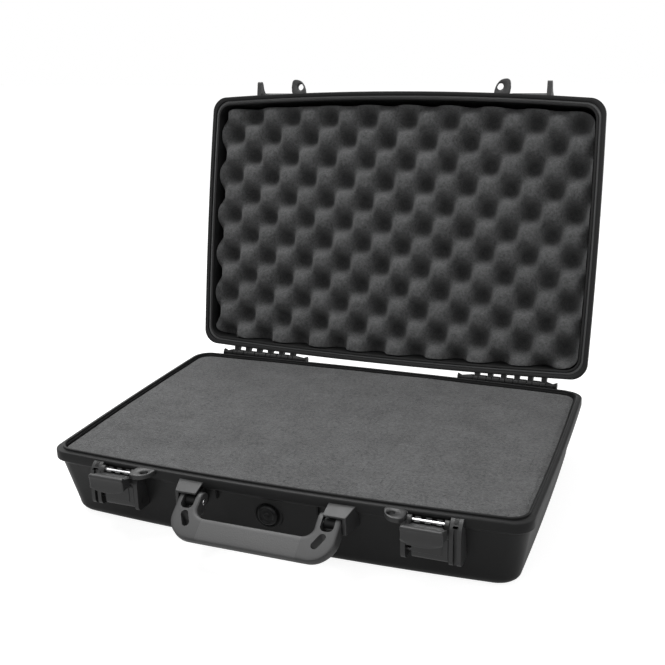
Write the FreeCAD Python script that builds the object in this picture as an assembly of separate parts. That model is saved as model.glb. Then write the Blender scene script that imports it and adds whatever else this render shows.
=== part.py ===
import FreeCAD, Part
import math
import os

V = FreeCAD.Vector

# Laptop hard case with a hinged lid, standing open on its base.
# X runs along the front, Y towards the hinges, Z up; the origin is the centre of the underside.
# Everything is modelled with the lid closed, and the lid is then turned open about its hinges.

# The closed case
case_width = 506.0
case_depth = 337.7
base_height = 76.0
lid_height = 49.0
front_bow = 8.75
back_bow = 5.1
side_bow = 2.1
corner_radius = 21.0
wall_corner_radius = 19.0
inner_corner_radius = 15.0
corner_follow_share = 0.5
open_angle = 102.5

# Walls and rims
wall = 4.0
flange_height = 10.0
flange_slope = 3.0
flange_reach = 4.0
rim_bevel = 1.0
base_rim = 8.0
lid_rim = 10.4
base_taper = 9.2
lid_taper = 4.5
floor_edge_radius = 13.0
inner_edge_radius = 6.0
rounding_steps = 3
fit_gap = 0.3
face_overrun = 2.0
same_direction_share = 0.001

# Tongue, groove and seal
tongue_inset = 5.1
tongue_width = 2.2
tongue_height = 2.2
groove_side_gap = 0.6
groove_depth = 6.0
seal_height = 3.2

# Ribs on the lid and pockets under the base
lid_rib_count = 5
lid_rib_length = 330.0
lid_rib_width = 9.0
lid_rib_height = 1.6
lid_rib_pitch = 44.0
pocket_count = 4
pocket_length = 84.0
pocket_depth_y = 220.0
pocket_pitch = 97.0
pocket_recess = 1.4
wall_rib_place = 52.0
wall_rib_width = 2.0
wall_rib_reach = 3.2
wall_rib_height = 16.0

# Hinges
hinge_out = 5.28
hinge_down = 0.72
hinge_edge_gap = 34.0
hinge_length = 119.0
hinge_radius = 4.8
knuckle_sides = 12
hinge_pin_radius = 1.6
hinge_pin_inset = 3.0
hinge_web_height = 5.0
hinge_web_slope = 7.0
finger_count = 6
finger_width = 6.0
finger_pitch = 16.1
finger_first = 19.4
finger_radius = 4.5
finger_height = 9.0
finger_shoulder_turn = 60.0
finger_side_gap = 0.5
slot_gap = 0.8
running_gap = 0.08

# Latches: a frame hinged low on the base, and a lever hinged at the frame's top
latch_edge_gap = 91.8
latch_width = 38.8
latch_side_gap = 0.5
lever_axis_out = 3.34
lever_axis_down = 7.0
frame_axis_out = 3.9
frame_axis_down = 36.5
frame_barrel_radius = 6.4
frame_arm_width = 4.0
frame_arm_radius = 4.0
frame_plate_height = 19.0
frame_plate_thickness = 4.6
frame_notch_width = 5.4
frame_pin_radius = 1.75
latch_recess = 4.4
latch_recess_top = 3.4
lever_pin_radius = 1.5
lever_block_start = 7.4
lever_block_depth = 17.6
lever_block_height = 18.8
lever_block_top = 5.2
lever_crown = 5.0
lever_clip_radius = 3.2
lever_clip_width = 5.0
lever_clip_pitch = 10.2
lever_clip_count = 3
lever_clip_mouth = 110.0
lever_clip_mouth_turn = 60.0
lever_tongue_thickness = 3.6
lever_tongue_gap = 0.8

# Outline of the lever's block: outward shares of its depth, downward shares of its height
lever_block_shares = [(0.0, 0.30), (0.72, 0.12), (0.75, 0.0), (0.96, 0.0), (1.0, 0.06),
                      (0.975, 0.45), (0.985, 0.90), (0.92, 1.0), (0.55, 1.0), (0.02, 0.94),
                      (0.02, 0.74), (0.16, 0.52)]

# Ears of the base beside each latch
inner_ear_width = 4.4
outer_ear_width = 11.3
outer_ear_groove = 3.4
ear_groove_depth = 4.0
ear_reach = 11.0
outer_ear_reach = 10.2
ear_height = 44.0
ear_top_drop = 1.0
ear_root = 14.0
ear_shares = [(0.0, 0.0), (0.0, 0.94), (0.55, 1.0), (0.84, 0.88), (0.97, 0.68), (1.0, 0.09),
              (0.86, 0.0)]

# Padlock lugs
lug_length = 22.3
lug_reach = 17.0
lug_root = 3.2
lug_thickness = 5.0
lug_gap = 0.9
lug_hole_radius = 4.0
lug_hole_in = 9.0
lug_hole_out = 7.6
lug_corner_radius = 5.0
lug_shares = [(0.0, 0.0), (0.10, 0.55), (0.42, 0.96), (1.0, 1.0), (1.0, 0.0)]
lid_lug_trim = 1.3
lid_ear_place = 24.5
lid_ear_width = 5.5
lid_ear_reach = 16.0
lid_ear_height = 24.0
lid_ear_shares = [(0.0, 0.0), (0.0, 1.0), (0.25, 0.92), (0.55, 0.42), (0.92, 0.26), (1.0, 0.12),
                  (0.96, 0.0)]
catch_reach = 2.3
catch_top = 12.6
catch_height = 3.4

# Handle and its bosses
handle_place = 72.0
handle_axis_out = 9.9
handle_axis_down = 20.0
handle_droop = 35.0
handle_eye_radius = 9.0
handle_arm_width = 24.0
handle_prong_width = 5.4
handle_length = 42.6
handle_fork_depth = 12.6
handle_corner = 23.0
handle_inner_corner = 11.0
handle_bar_inner = 19.6
handle_grip_half = 51.0
handle_grip_top = 9.0
handle_grip_low = 6.0
handle_core_margin = 4.0
handle_softening = 3.2
handle_pin_radius = 3.0
window_width = 7.4
window_half_length = 8.6
window_place = 22.8
window_inward = 3.8
window_turn = 28.0
boss_block_width = 12.0
boss_block_radius = 5.6
hood_inner = 65.5
hood_width_back = 27.5
hood_width_front = 22.5
hood_reach = 15.8
hood_root = 5.0
hood_drop = 3.0
hood_fall = 5.8
hood_thickness = 2.6
cheek_inner = 84.5
cheek_low = 43.5
cheek_pin_hold = 2.5

# Pressure vent
vent_rim_drop = 31.0
vent_height = base_height - vent_rim_drop
vent_boss_radius = 15.0
vent_boss_reach = 1.2
vent_ring_radius = 12.6
vent_ring_depth = 2.0
vent_body_radius = 7.0
vent_flange_radius = 9.4
vent_flange_thickness = 1.2
vent_seal_width = 1.6
vent_seal_height = 0.8
vent_cap_radius = 10.4
vent_cap_thickness = 4.6
vent_cap_stud_radius = 2.6
vent_cap_stud_height = 0.9
vent_membrane_radius = 4.6
vent_membrane_thickness = 0.6
vent_duct_radius = 2.0

# Foams
foam_gap = 0.3
pad_thickness = 12.0
cubed_drop = 0.8
lid_foam_gap = 0.8
egg_period = 52.5
egg_depth = 28.0
egg_shift_x = -12.0
egg_shift_y = -4.3
egg_columns = 9
egg_rows = 6
egg_recess = 3.2


def meet(first, first_radius, second, second_radius, near):
    """Crossing of two circles in the plan that lies nearest to a point."""
    span = second - first
    along = (first_radius ** 2 - second_radius ** 2 + span.Length ** 2) / (2 * span.Length)
    across = math.sqrt(first_radius ** 2 - along ** 2)
    unit = V(span).normalize()
    side = V(-unit.y, unit.x, 0)
    found = [first + unit * along + side * across * sign for sign in (1, -1)]
    return min(found, key=lambda point: (point - near).Length)


def outline(inset, height, radius=None):
    """Plan outline of the case: four bowed sides joined by round corners, drawn in by an inset."""
    half_x = case_width / 2 - inset
    half_y = case_depth / 2 - inset
    if radius is None:
        radius = corner_radius - inset * corner_follow_share
    middle = (front_bow - back_bow) / 2
    reach_x = half_x - side_bow
    reach_y = half_y - (front_bow + back_bow) / 2
    front_radius = (reach_x ** 2 + front_bow ** 2) / (2 * front_bow)
    back_radius = (reach_x ** 2 + back_bow ** 2) / (2 * back_bow)
    side_radius = (reach_y ** 2 + side_bow ** 2) / (2 * side_bow)
    front = (V(0, front_radius - half_y, 0), front_radius)
    back = (V(0, half_y - back_radius, 0), back_radius)
    right = (V(half_x - side_radius, middle, 0), side_radius)
    left = (V(side_radius - half_x, middle, 0), side_radius)
    ring = [front, right, back, left]
    corners = [V(half_x, -half_y, 0), V(half_x, half_y, 0),
               V(-half_x, half_y, 0), V(-half_x, -half_y, 0)]
    marks = []
    for this, following, near in zip(ring, ring[1:] + ring[:1], corners):
        first, first_radius = this
        second, second_radius = following
        centre = meet(first, first_radius - radius, second, second_radius - radius, near)
        start = centre + (centre - first).normalize() * radius
        end = centre + (centre - second).normalize() * radius
        mid = centre + (start + end - centre * 2).normalize() * radius
        marks.append((start, mid, end))
    tops = [V(0, -half_y, 0), V(half_x, middle, 0), V(0, half_y, 0), V(-half_x, middle, 0)]
    edges = []
    for index, (start, mid, end) in enumerate(marks):
        following = (index + 1) % len(marks)
        edges.append(Part.Arc(start, mid, end).toShape())
        edges.append(Part.Arc(end, tops[following], marks[following][0]).toShape())
    wire = Part.Wire(edges)
    wire.translate(V(0, 0, height))
    return wire


def slab(inset, low, high, radius=None):
    """The case outline as a plate between two heights."""
    return Part.Face(outline(inset, low, radius)).extrude(V(0, 0, high - low))


def tub(stations, to_height, radius):
    """Solid through case outlines given as (distance from the rim plane, inset)."""
    wires = [outline(inset, to_height(distance), radius) for distance, inset in stations]
    return Part.makeLoft(wires, True, True)


def rounded_floor(depth, inset, radius):
    """Stations of the rounded edge between a wall and the floor at a depth."""
    turns = [math.radians(90 * step / rounding_steps) for step in range(rounding_steps + 1)]
    return [(depth - radius * (1 - math.sin(turn)), inset + radius * (1 - math.cos(turn)))
            for turn in turns]


def outer_form(depth, taper, start, to_height):
    """Outside of a half of the case: rim flange, leaning wall and rounded floor."""
    stations = [(start, rim_bevel), (start + rim_bevel, 0), (flange_height, 0),
                (flange_height + flange_slope, flange_reach)]
    stations += rounded_floor(depth, flange_reach + taper, floor_edge_radius)
    return tub(stations, to_height, wall_corner_radius)


def inner_form(depth, taper, rim, to_height):
    wall_inset = flange_reach + taper + wall
    stations = [(-face_overrun, rim), (flange_height + flange_slope, max(rim, flange_reach + wall))]
    stations += rounded_floor(depth - wall, wall_inset, inner_edge_radius)
    return tub(stations, to_height, inner_corner_radius)


def at_base(distance):
    return base_height - distance


def at_lid(distance):
    return base_height + distance


def front_at(place):
    """Y of the rim's front face at a distance from the centre line."""
    half = case_width / 2
    return -case_depth / 2 + front_bow * (place / half) ** 2


def back_at(place):
    half = case_width / 2
    return case_depth / 2 - back_bow * (place / half) ** 2


def wall_inset_at(height):
    """Inset of the base's outer wall at a height above the ground."""
    top = base_height - flange_height - flange_slope
    return flange_reach + base_taper * (top - height) / (top - floor_edge_radius)


def rod(start, end, y, z, radius):
    """Cylinder along X."""
    return Part.makeCylinder(radius, end - start, V(start, y, z), V(1, 0, 0))


def disc(x, start, end, z, radius):
    """Cylinder along Y."""
    return Part.makeCylinder(radius, end - start, V(x, start, z), V(0, 1, 0))


def block(low, high):
    return Part.makeBox(high.x - low.x, high.y - low.y, high.z - low.z, low)


def side_profile(points, start, end):
    """Outline in (Y, Z) drawn along X."""
    corners = [V(start, y, z) for y, z in points]
    return Part.Face(Part.makePolygon(corners + corners[:1])).extrude(V(end - start, 0, 0))


def plan_profile(points, low, high):
    """Outline in (X, Y) drawn along Z."""
    corners = [V(x, y, low) for x, y in points]
    return Part.Face(Part.makePolygon(corners + corners[:1])).extrude(V(0, 0, high - low))


def knuckle(start, end, y, z, radius):
    """Flat-sided rod along X."""
    turns = [math.radians(360 * (side + 0.5) / knuckle_sides) for side in range(knuckle_sides)]
    reach = radius / math.cos(math.pi / knuckle_sides)
    return side_profile([(y + reach * math.cos(turn), z + reach * math.sin(turn)) for turn in turns],
                        start, end)


def edges_along(solid, direction):
    chosen = []
    for edge in solid.Edges:
        if len(edge.Vertexes) == 2:
            run = edge.Vertexes[1].Point - edge.Vertexes[0].Point
            if run.Length > 0 and run.cross(direction).Length < run.Length * same_direction_share:
                chosen.append(edge)
    return chosen


def soften(solid, radius, direction):
    """Rounds the straight edges that run along a direction."""
    return solid.makeFillet(radius, edges_along(solid, direction))


def trim(solid, size, direction):
    """Cuts off the straight edges that run along a direction."""
    return solid.makeChamfer(size, edges_along(solid, direction))


def mirrored(solid):
    return solid.mirror(V(0, 0, 0), V(1, 0, 0))


def both(solid):
    return [solid, mirrored(solid)]


# Hinges
hinge_y = case_depth / 2 + hinge_out
hinge_z = base_height - hinge_down
hinge_end = case_width / 2 - hinge_edge_gap
hinge_start = hinge_end - hinge_length
finger_starts = [hinge_start + finger_first + finger_pitch * index for index in range(finger_count)]


def hinge_barrel():
    """Base side of one hinge: a barrel on a web, slotted for the lid's fingers."""
    barrel = knuckle(hinge_start, hinge_end, hinge_y, hinge_z, hinge_radius)
    root = back_at(hinge_end) - base_rim / 2
    web_top = hinge_z - fit_gap
    web = side_profile([(root, web_top), (hinge_y, web_top), (hinge_y, hinge_z - hinge_radius),
                        (root, hinge_z - hinge_web_height - hinge_web_slope)],
                       hinge_start + hinge_radius, hinge_end - hinge_radius)
    body = barrel.fuse(web)
    reach = finger_radius + slot_gap
    low = hinge_z - hinge_web_height - hinge_web_slope
    for start in finger_starts:
        body = body.cut(block(V(start - finger_side_gap, hinge_y - reach, low),
                              V(start + finger_width + finger_side_gap, hinge_y + reach, hinge_z + reach)))
    return body


def hinge_pin():
    return rod(hinge_start + hinge_pin_inset, hinge_end, hinge_y, hinge_z, hinge_pin_radius)


def hinge_bore():
    """Bore in the barrel, open at the outer end where the pin is pushed in."""
    return rod(hinge_start + hinge_pin_inset, hinge_end + hinge_radius, hinge_y, hinge_z, hinge_pin_radius)


def hinge_finger(start):
    """One finger of the lid: an eye round the pin and an arm to the lid's flange."""
    root = back_at(hinge_end) - fit_gap
    low = base_height + rim_bevel
    top = low + finger_height
    turn = math.radians(finger_shoulder_turn)
    shoulder = (hinge_y + finger_radius * math.cos(turn), hinge_z + finger_radius * math.sin(turn))
    arm = side_profile([(root, low), (root, top), (back_at(hinge_start), top), shoulder,
                        (hinge_y, hinge_z), (hinge_y - finger_radius, low)],
                       start, start + finger_width)
    eye = knuckle(start, start + finger_width, hinge_y, hinge_z, finger_radius)
    return eye.fuse(arm)


def finger_bore():
    return rod(hinge_start, hinge_end, hinge_y, hinge_z, hinge_pin_radius + running_gap)


# Latches, drawn on the right-hand side
latch_place = case_width / 2 - latch_edge_gap
latch_rim = front_at(latch_place)
lever_y = latch_rim - lever_axis_out
lever_z = base_height - lever_axis_down
frame_y = latch_rim - frame_axis_out
frame_z = base_height - frame_axis_down
latch_left = latch_place - latch_width / 2
latch_right = latch_place + latch_width / 2
inner_ear_face = latch_left - latch_side_gap
outer_ear_face = latch_right + latch_side_gap
frame_front = frame_y - frame_barrel_radius
ear_top = base_height - ear_top_drop


def ear(start, end, reach):
    low = ear_top - ear_height
    points = [(latch_rim + ear_root - out * (ear_root + reach), low + up * ear_height)
              for out, up in ear_shares]
    return side_profile(points, start, end)


def latch_ears():
    """The two ears that carry the latch, the outer one with a groove down its front."""
    inner = ear(inner_ear_face - inner_ear_width, inner_ear_face, ear_reach)
    outer = ear(outer_ear_face, outer_ear_face + outer_ear_width, outer_ear_reach)
    groove_start = outer_ear_face + (outer_ear_width - outer_ear_groove) / 2
    front = latch_rim - outer_ear_reach
    groove = block(V(groove_start, front - face_overrun, ear_top - ear_height - face_overrun),
                   V(groove_start + outer_ear_groove, front + ear_groove_depth, ear_top - lug_thickness))
    return inner.fuse(outer.cut(groove))


def lug(trim):
    """Plan of a padlock lug, from its free side to the ear."""
    end = inner_ear_face - trim
    start = inner_ear_face - lug_length + trim
    rim = front_at(start)
    return [(start + along * (end - start), rim + lug_root - out * (lug_reach + lug_root))
            for along, out in lug_shares]


lug_hole_x = inner_ear_face - lug_length + lug_hole_in
lug_hole_y = front_at(lug_hole_x) - lug_hole_out


def lug_hole(low, high):
    return Part.makeCylinder(lug_hole_radius, high - low, V(lug_hole_x, lug_hole_y, low))


def base_lug():
    top = base_height - lug_gap / 2
    body = soften(plan_profile(lug(0), top - lug_thickness, top), lug_corner_radius / 2, V(0, 0, 1))
    return body.cut(lug_hole(top - lug_thickness - face_overrun, top + face_overrun))


def lid_lug():
    low = base_height + rim_bevel
    plate = plan_profile(lug(lid_lug_trim), low, low + lug_thickness)
    body = soften(plate, lug_corner_radius / 2, V(0, 0, 1))
    return body.cut(lug_hole(low - face_overrun, low + lug_thickness + face_overrun))


def lid_ear():
    start = latch_place + lid_ear_place - lid_ear_width / 2
    low = base_height + rim_bevel
    root = lug_root + flange_reach
    points = [(latch_rim + root - out * (root + lid_ear_reach), low + up * lid_ear_height)
              for out, up in lid_ear_shares]
    return side_profile(points, start, start + lid_ear_width)


def catch_lip():
    """Ledge on the lid's flange that the lever's nose hooks over."""
    top = base_height + catch_top
    start = latch_left - latch_side_gap
    end = latch_right + latch_side_gap
    return side_profile([(latch_rim + lug_root + rim_bevel, top + rim_bevel), (latch_rim - catch_reach, top),
                         (latch_rim - catch_reach, top - catch_height + rim_bevel),
                         (latch_rim + rim_bevel, top - catch_height - rim_bevel)], start, end)


def latch_recess_cut():
    """Pocket in the rim's skirt behind the lever's pin."""
    low = base_height - flange_height - flange_slope * 2
    return block(V(inner_ear_face, latch_rim - face_overrun * 2, low),
                 V(outer_ear_face, latch_rim + latch_recess, base_height - latch_recess_top))


def latch_frame():
    """Barrel round the low pin, a plate, and two arms up to the lever's pin."""
    body = rod(latch_left, latch_right, frame_y, frame_z, frame_barrel_radius)
    plate_top = frame_z + frame_plate_height
    body = body.fuse(block(V(latch_left, frame_front, frame_z),
                           V(latch_right, frame_front + frame_plate_thickness, plate_top)))
    rise = lever_z - frame_z
    for start in (latch_left, latch_right - frame_arm_width):
        end = start + frame_arm_width
        arm = side_profile([(frame_front, frame_z), (lever_y - frame_arm_radius, frame_z + rise),
                            (lever_y + frame_arm_radius, frame_z + rise),
                            (frame_y + frame_barrel_radius, frame_z)], start, end)
        eye = rod(start, end, lever_y, lever_z, frame_arm_radius)
        body = body.fuse(arm).fuse(eye)
    body = body.cut(rod(latch_left - face_overrun, latch_right + face_overrun, frame_y, frame_z,
                        frame_pin_radius + running_gap))
    body = body.cut(rod(latch_left - face_overrun, latch_right + face_overrun, lever_y, lever_z,
                        lever_pin_radius))
    reach = frame_barrel_radius + fit_gap
    return body.cut(block(V(latch_left - face_overrun, frame_y - reach - face_overrun, frame_z - reach),
                          V(latch_left + frame_notch_width, frame_y + reach, frame_z + reach)))


def clip_mouth(start, end):
    """Wedge that leaves a snap clip open towards the front and above."""
    reach = lever_clip_radius * 2
    turns = [lever_clip_mouth_turn - lever_clip_mouth / 2, lever_clip_mouth_turn,
             lever_clip_mouth_turn + lever_clip_mouth / 2]
    rays = [(lever_y - reach * math.cos(math.radians(turn)), lever_z + reach * math.sin(math.radians(turn)))
            for turn in turns]
    return side_profile([(lever_y, lever_z)] + rays, start, end)


def latch_lever():
    """Finger block with a claw along its edge, and a tongue whose snap hooks clip on the upper pin."""
    top = lever_z + lever_block_top
    near = lever_y - lever_block_start
    points = [(near - out * lever_block_depth, top - down * lever_block_height)
              for out, down in lever_block_shares]
    finger = side_profile(points, latch_left, latch_right)
    low = top - lever_block_height
    crown_radius = (latch_width ** 2 / 4 + lever_crown ** 2) / (2 * lever_crown)
    front = near - lever_block_depth - face_overrun
    body = finger.common(disc(latch_place, front, near, low + crown_radius, crown_radius))
    side = frame_arm_width + lever_tongue_gap
    inside = near - lever_tongue_thickness
    tongue = side_profile([(inside, lever_z - lever_pin_radius / 3),
                           (lever_y - lever_clip_radius / 2, lever_z - lever_clip_radius * 3 / 4),
                           (lever_y - lever_clip_radius / 3, lever_z - lever_clip_radius * 6 / 5),
                           (inside, lever_z - lever_clip_radius - lever_tongue_thickness)],
                          latch_left + side, latch_right - side)
    body = body.fuse(tongue)
    middle = (lever_clip_count - 1) / 2
    for index in range(lever_clip_count):
        start = latch_place + (index - middle) * lever_clip_pitch - lever_clip_width / 2
        end = start + lever_clip_width
        hook = rod(start, end, lever_y, lever_z, lever_clip_radius)
        body = body.fuse(hook.cut(clip_mouth(start, end)))
    bore = rod(latch_left, latch_right, lever_y, lever_z, lever_pin_radius + running_gap)
    return body.cut(bore).removeSplitter()


def lever_pin():
    return rod(latch_left + fit_gap, latch_right - fit_gap, lever_y, lever_z, lever_pin_radius)


def frame_pin():
    return rod(inner_ear_face - inner_ear_width, outer_ear_face + outer_ear_width / 2,
               frame_y, frame_z, frame_pin_radius)


# Handle, drawn level and then let down by its droop
handle_y = front_at(handle_place) - handle_axis_out
handle_z = base_height - handle_axis_down
arm_out = handle_place + handle_arm_width / 2
arm_in = handle_place - handle_arm_width / 2


def handle_plan():
    """U-shaped plan: straight arms that turn in to a bar, outside and inside edges as arcs."""
    back = handle_y + handle_eye_radius
    front = handle_y - handle_length
    inner = handle_y - handle_bar_inner
    outer_turn = front + handle_corner
    slant = handle_corner * math.sqrt(0.5)
    bend = V(arm_out - handle_corner + slant, outer_turn - slant, 0)
    inner_slant = handle_inner_corner * math.sqrt(0.5)
    inner_bend = V(arm_in - handle_inner_corner + inner_slant, inner + handle_inner_corner - inner_slant, 0)
    right = [Part.makeLine(V(arm_in, inner + handle_inner_corner, 0), V(arm_in, back, 0)),
             Part.makeLine(V(arm_in, back, 0), V(arm_out, back, 0)),
             Part.makeLine(V(arm_out, back, 0), V(arm_out, outer_turn, 0)),
             Part.Arc(V(arm_out, outer_turn, 0), bend, V(arm_out - handle_corner, front, 0)).toShape()]
    corner = Part.Arc(V(arm_in, inner + handle_inner_corner, 0), inner_bend,
                      V(arm_in - handle_inner_corner, inner, 0)).toShape()
    left = [mirrored(edge) for edge in right + [corner]]
    bar_out = arm_out - handle_corner
    bar_in = arm_in - handle_inner_corner
    bars = [Part.makeLine(V(bar_out, front, 0), V(-bar_out, front, 0)),
            Part.makeLine(V(bar_in, inner, 0), V(-bar_in, inner, 0))]
    wire = Part.Wire(Part.__sortEdges__(right + [corner] + left + bars))
    face = Part.Face(wire)
    face.translate(V(0, 0, handle_z - handle_length))
    return face.extrude(V(0, 0, handle_length * 2))


def bar_section(margin):
    """Section of the grip: a broad flat top, an upright front and a narrower underside."""
    inner = handle_y - handle_bar_inner - margin
    front = handle_y - handle_length + margin
    top = handle_z + handle_grip_top - margin
    low = handle_z - handle_grip_low + margin
    depth = inner - front
    rise = top - low
    shares = [(0.0, 0.82), (0.08, 1.0), (0.90, 1.0), (1.0, 0.88), (1.0, 0.28), (0.84, 0.04), (0.60, 0.0),
              (0.20, 0.0), (0.0, 0.22)]
    return [(inner - out * depth, low + up * rise) for out, up in shares]


def arm_section():
    """Side view of an arm, from its eye to the bar."""
    inner = handle_y - handle_bar_inner
    top = handle_z + handle_eye_radius
    low = handle_z - handle_eye_radius
    bar = bar_section(0)
    return ([(handle_y, top), (inner, handle_z + handle_grip_top)] + bar[2:-2]
            + [(inner, bar[-2][1]), (handle_y, low)])


def handle_window():
    """Rounded slot through one arm, turned in along the arm's bend."""
    half = window_half_length - window_width / 2
    centre = V(handle_place - window_inward, handle_y - window_place, handle_z - handle_length)
    slot = block(V(-window_width / 2, -half, 0), V(window_width / 2, half, handle_length * 2))
    for end in (-half, half):
        slot = slot.fuse(Part.makeCylinder(window_width / 2, handle_length * 2, V(0, end, 0)))
    slot.rotate(V(0, 0, 0), V(0, 0, 1), -window_turn)
    slot.translate(centre)
    return slot


def drooped(solid):
    solid = solid.copy()
    solid.rotate(V(0, handle_y, handle_z), V(1, 0, 0), handle_droop)
    return solid


def handle_frame():
    sides = side_profile(arm_section(), -arm_out, arm_out)
    eyes = rod(-arm_out, arm_out, handle_y, handle_z, handle_eye_radius)
    body = handle_plan().common(sides.fuse(eyes))
    fork_start = arm_in + handle_prong_width
    fork_end = arm_out - handle_prong_width
    fork = block(V(fork_start, handle_y - handle_fork_depth, handle_z - handle_length),
                 V(fork_end, handle_y + handle_length, handle_z + handle_length))
    body = body.cut(both(fork) + both(handle_window()))
    around = block(V(-handle_grip_half, handle_y - handle_length * 2, handle_z - handle_length),
                   V(handle_grip_half, handle_y - handle_bar_inner + handle_softening,
                     handle_z + handle_length))
    core = side_profile(bar_section(handle_core_margin), -handle_grip_half, handle_grip_half)
    body = body.cut(around).fuse(core)
    body = body.cut(rod(-arm_out - face_overrun, arm_out + face_overrun, handle_y, handle_z,
                        handle_pin_radius + running_gap))
    return drooped(body.removeSplitter())


def handle_grip():
    outer = side_profile(bar_section(0), -handle_grip_half, handle_grip_half)
    core = side_profile(bar_section(handle_core_margin), -handle_grip_half - face_overrun,
                        handle_grip_half + face_overrun)
    return drooped(outer.cut(core))


def handle_pin():
    return rod(arm_in - fit_gap, cheek_inner + cheek_pin_hold, handle_y, handle_z, handle_pin_radius)


def handle_boss():
    """Block that fills the handle's fork, and a hood with an outer cheek that holds the pin's end."""
    rim = front_at(handle_place)
    start = handle_place - boss_block_width / 2
    end = start + boss_block_width
    root = rim + flange_reach + wall
    post = side_profile([(root, handle_z + boss_block_radius + hood_fall),
                         (handle_y, handle_z + boss_block_radius), (handle_y, handle_z - boss_block_radius),
                         (root + base_taper / 2, handle_z - boss_block_radius * 2)], start, end)
    post = post.fuse(rod(start, end, handle_y, handle_z, boss_block_radius))
    back = rim + hood_root
    front = rim - hood_reach
    top = base_height - hood_drop
    hood = side_profile([(back, top), (front, top - hood_fall), (front, top - hood_fall - hood_thickness / 2),
                         (front + hood_thickness, top - hood_fall - hood_thickness / 2),
                         (back, top - hood_thickness)], hood_inner, hood_inner + hood_width_back)
    taper = plan_profile([(hood_inner, back), (hood_inner + hood_width_back, back),
                          (hood_inner + hood_width_front, front), (hood_inner, front)],
                         base_height - ear_height, base_height)
    cheek = side_profile([(root, top - hood_thickness), (front, top - hood_fall), (front, cheek_low),
                          (root, cheek_low)], cheek_inner, hood_inner + hood_width_back)
    return post.fuse([hood.common(taper), cheek.common(taper)])


# Vent in the middle of the front wall
vent_wall = front_at(0) + wall_inset_at(vent_height)
vent_face = vent_wall - vent_boss_reach


def vent_boss():
    return disc(0, vent_face, vent_wall + wall / 2, vent_height, vent_boss_radius)


def vent_cuts():
    """Ring recess, seat for the vent's flange and seal, and the bore through the wall."""
    ring_floor = vent_face + vent_ring_depth
    ring = disc(0, vent_face - face_overrun, ring_floor, vent_height, vent_ring_radius)
    bore = disc(0, vent_face - face_overrun, vent_wall + wall * 2, vent_height, vent_body_radius)
    seat = disc(0, ring_floor - face_overrun, ring_floor + vent_seal_height, vent_height,
                vent_body_radius + vent_seal_width)
    return [ring, bore, seat]


def vent_parts():
    ring_floor = vent_face + vent_ring_depth
    inner_end = front_at(0) + wall_inset_at(vent_height + vent_body_radius) + wall - fit_gap
    flange_front = ring_floor - vent_flange_thickness
    body = disc(0, ring_floor, inner_end, vent_height, vent_body_radius)
    body = body.fuse(disc(0, flange_front, ring_floor, vent_height, vent_flange_radius))
    seat_end = flange_front + vent_membrane_thickness
    body = body.cut(disc(0, flange_front, seat_end, vent_height, vent_membrane_radius))
    body = body.cut(disc(0, flange_front, inner_end, vent_height, vent_duct_radius))
    seal_end = ring_floor + vent_seal_height
    seal = disc(0, ring_floor, seal_end, vent_height, vent_body_radius + vent_seal_width)
    seal = seal.cut(disc(0, ring_floor, seal_end, vent_height, vent_body_radius))
    membrane = disc(0, flange_front, seat_end, vent_height, vent_membrane_radius)
    cap_front = flange_front - vent_cap_thickness
    cap = disc(0, cap_front, flange_front, vent_height, vent_cap_radius)
    front_edges = [edge for edge in cap.Edges if abs(edge.CenterOfMass.y - cap_front) < fit_gap / 10]
    cap = cap.makeChamfer(vent_flange_thickness, front_edges)
    cap = cap.fuse(disc(0, cap_front - vent_cap_stud_height, cap_front, vent_height, vent_cap_stud_radius))
    return {"vent_body": body, "vent_seal": seal, "vent_membrane": membrane, "vent_cap": cap}


# Shells
def floor_pockets():
    pockets = []
    middle = (pocket_count - 1) / 2
    for index in range(pocket_count):
        x = (index - middle) * pocket_pitch
        pocket = block(V(x - pocket_length / 2, -pocket_depth_y / 2, -face_overrun),
                       V(x + pocket_length / 2, pocket_depth_y / 2, pocket_recess))
        pockets.append(trim(pocket, floor_edge_radius / 2, V(0, 0, 1)))
    return pockets


def wall_ribs():
    """Short upright ribs on the front wall beside the handle."""
    low = base_height - flange_height / 2 - wall_rib_height
    face = front_at(wall_rib_place) + wall_inset_at(low)
    rib = block(V(wall_rib_place, face - wall_rib_reach, low),
                V(wall_rib_place + wall_rib_width, face + wall / 2, base_height - flange_height / 2))
    return both(rib)


def base_shell():
    body = outer_form(base_height, base_taper, fit_gap, at_base)
    body = body.cut([latch_recess_cut(), mirrored(latch_recess_cut())])
    added = [vent_boss()] + wall_ribs()
    for piece in (latch_ears(), base_lug(), handle_boss(), hinge_barrel()):
        added += both(piece)
    body = body.fuse(added)
    body = body.cut(inner_form(base_height, base_taper, base_rim, at_base))
    ring = slab(tongue_inset, base_height - rim_bevel, base_height + tongue_height)
    ring = ring.cut(slab(tongue_inset + tongue_width, base_height - rim_bevel * 2,
                         base_height + tongue_height + face_overrun))
    body = body.fuse(ring)
    pins = both(hinge_bore()) + both(handle_pin()) + both(frame_pin())
    return body.cut(vent_cuts() + floor_pockets() + pins)


def lid_ribs():
    top = base_height + lid_height
    ribs = []
    middle = (lid_rib_count - 1) / 2
    for index in range(lid_rib_count):
        y = (index - middle) * lid_rib_pitch
        rib = block(V(-lid_rib_length / 2, y - lid_rib_width / 2, top - wall / 2),
                    V(lid_rib_length / 2, y + lid_rib_width / 2, top + lid_rib_height))
        ribs.append(trim(rib, lid_rib_width / 3, V(0, 0, 1)))
    return ribs


def lid_groove():
    low = base_height - face_overrun
    high = base_height + groove_depth
    outer = slab(tongue_inset - groove_side_gap, low, high)
    inner_inset = tongue_inset + tongue_width + groove_side_gap
    return outer.cut(slab(inner_inset, low - face_overrun, high + face_overrun))


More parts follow.
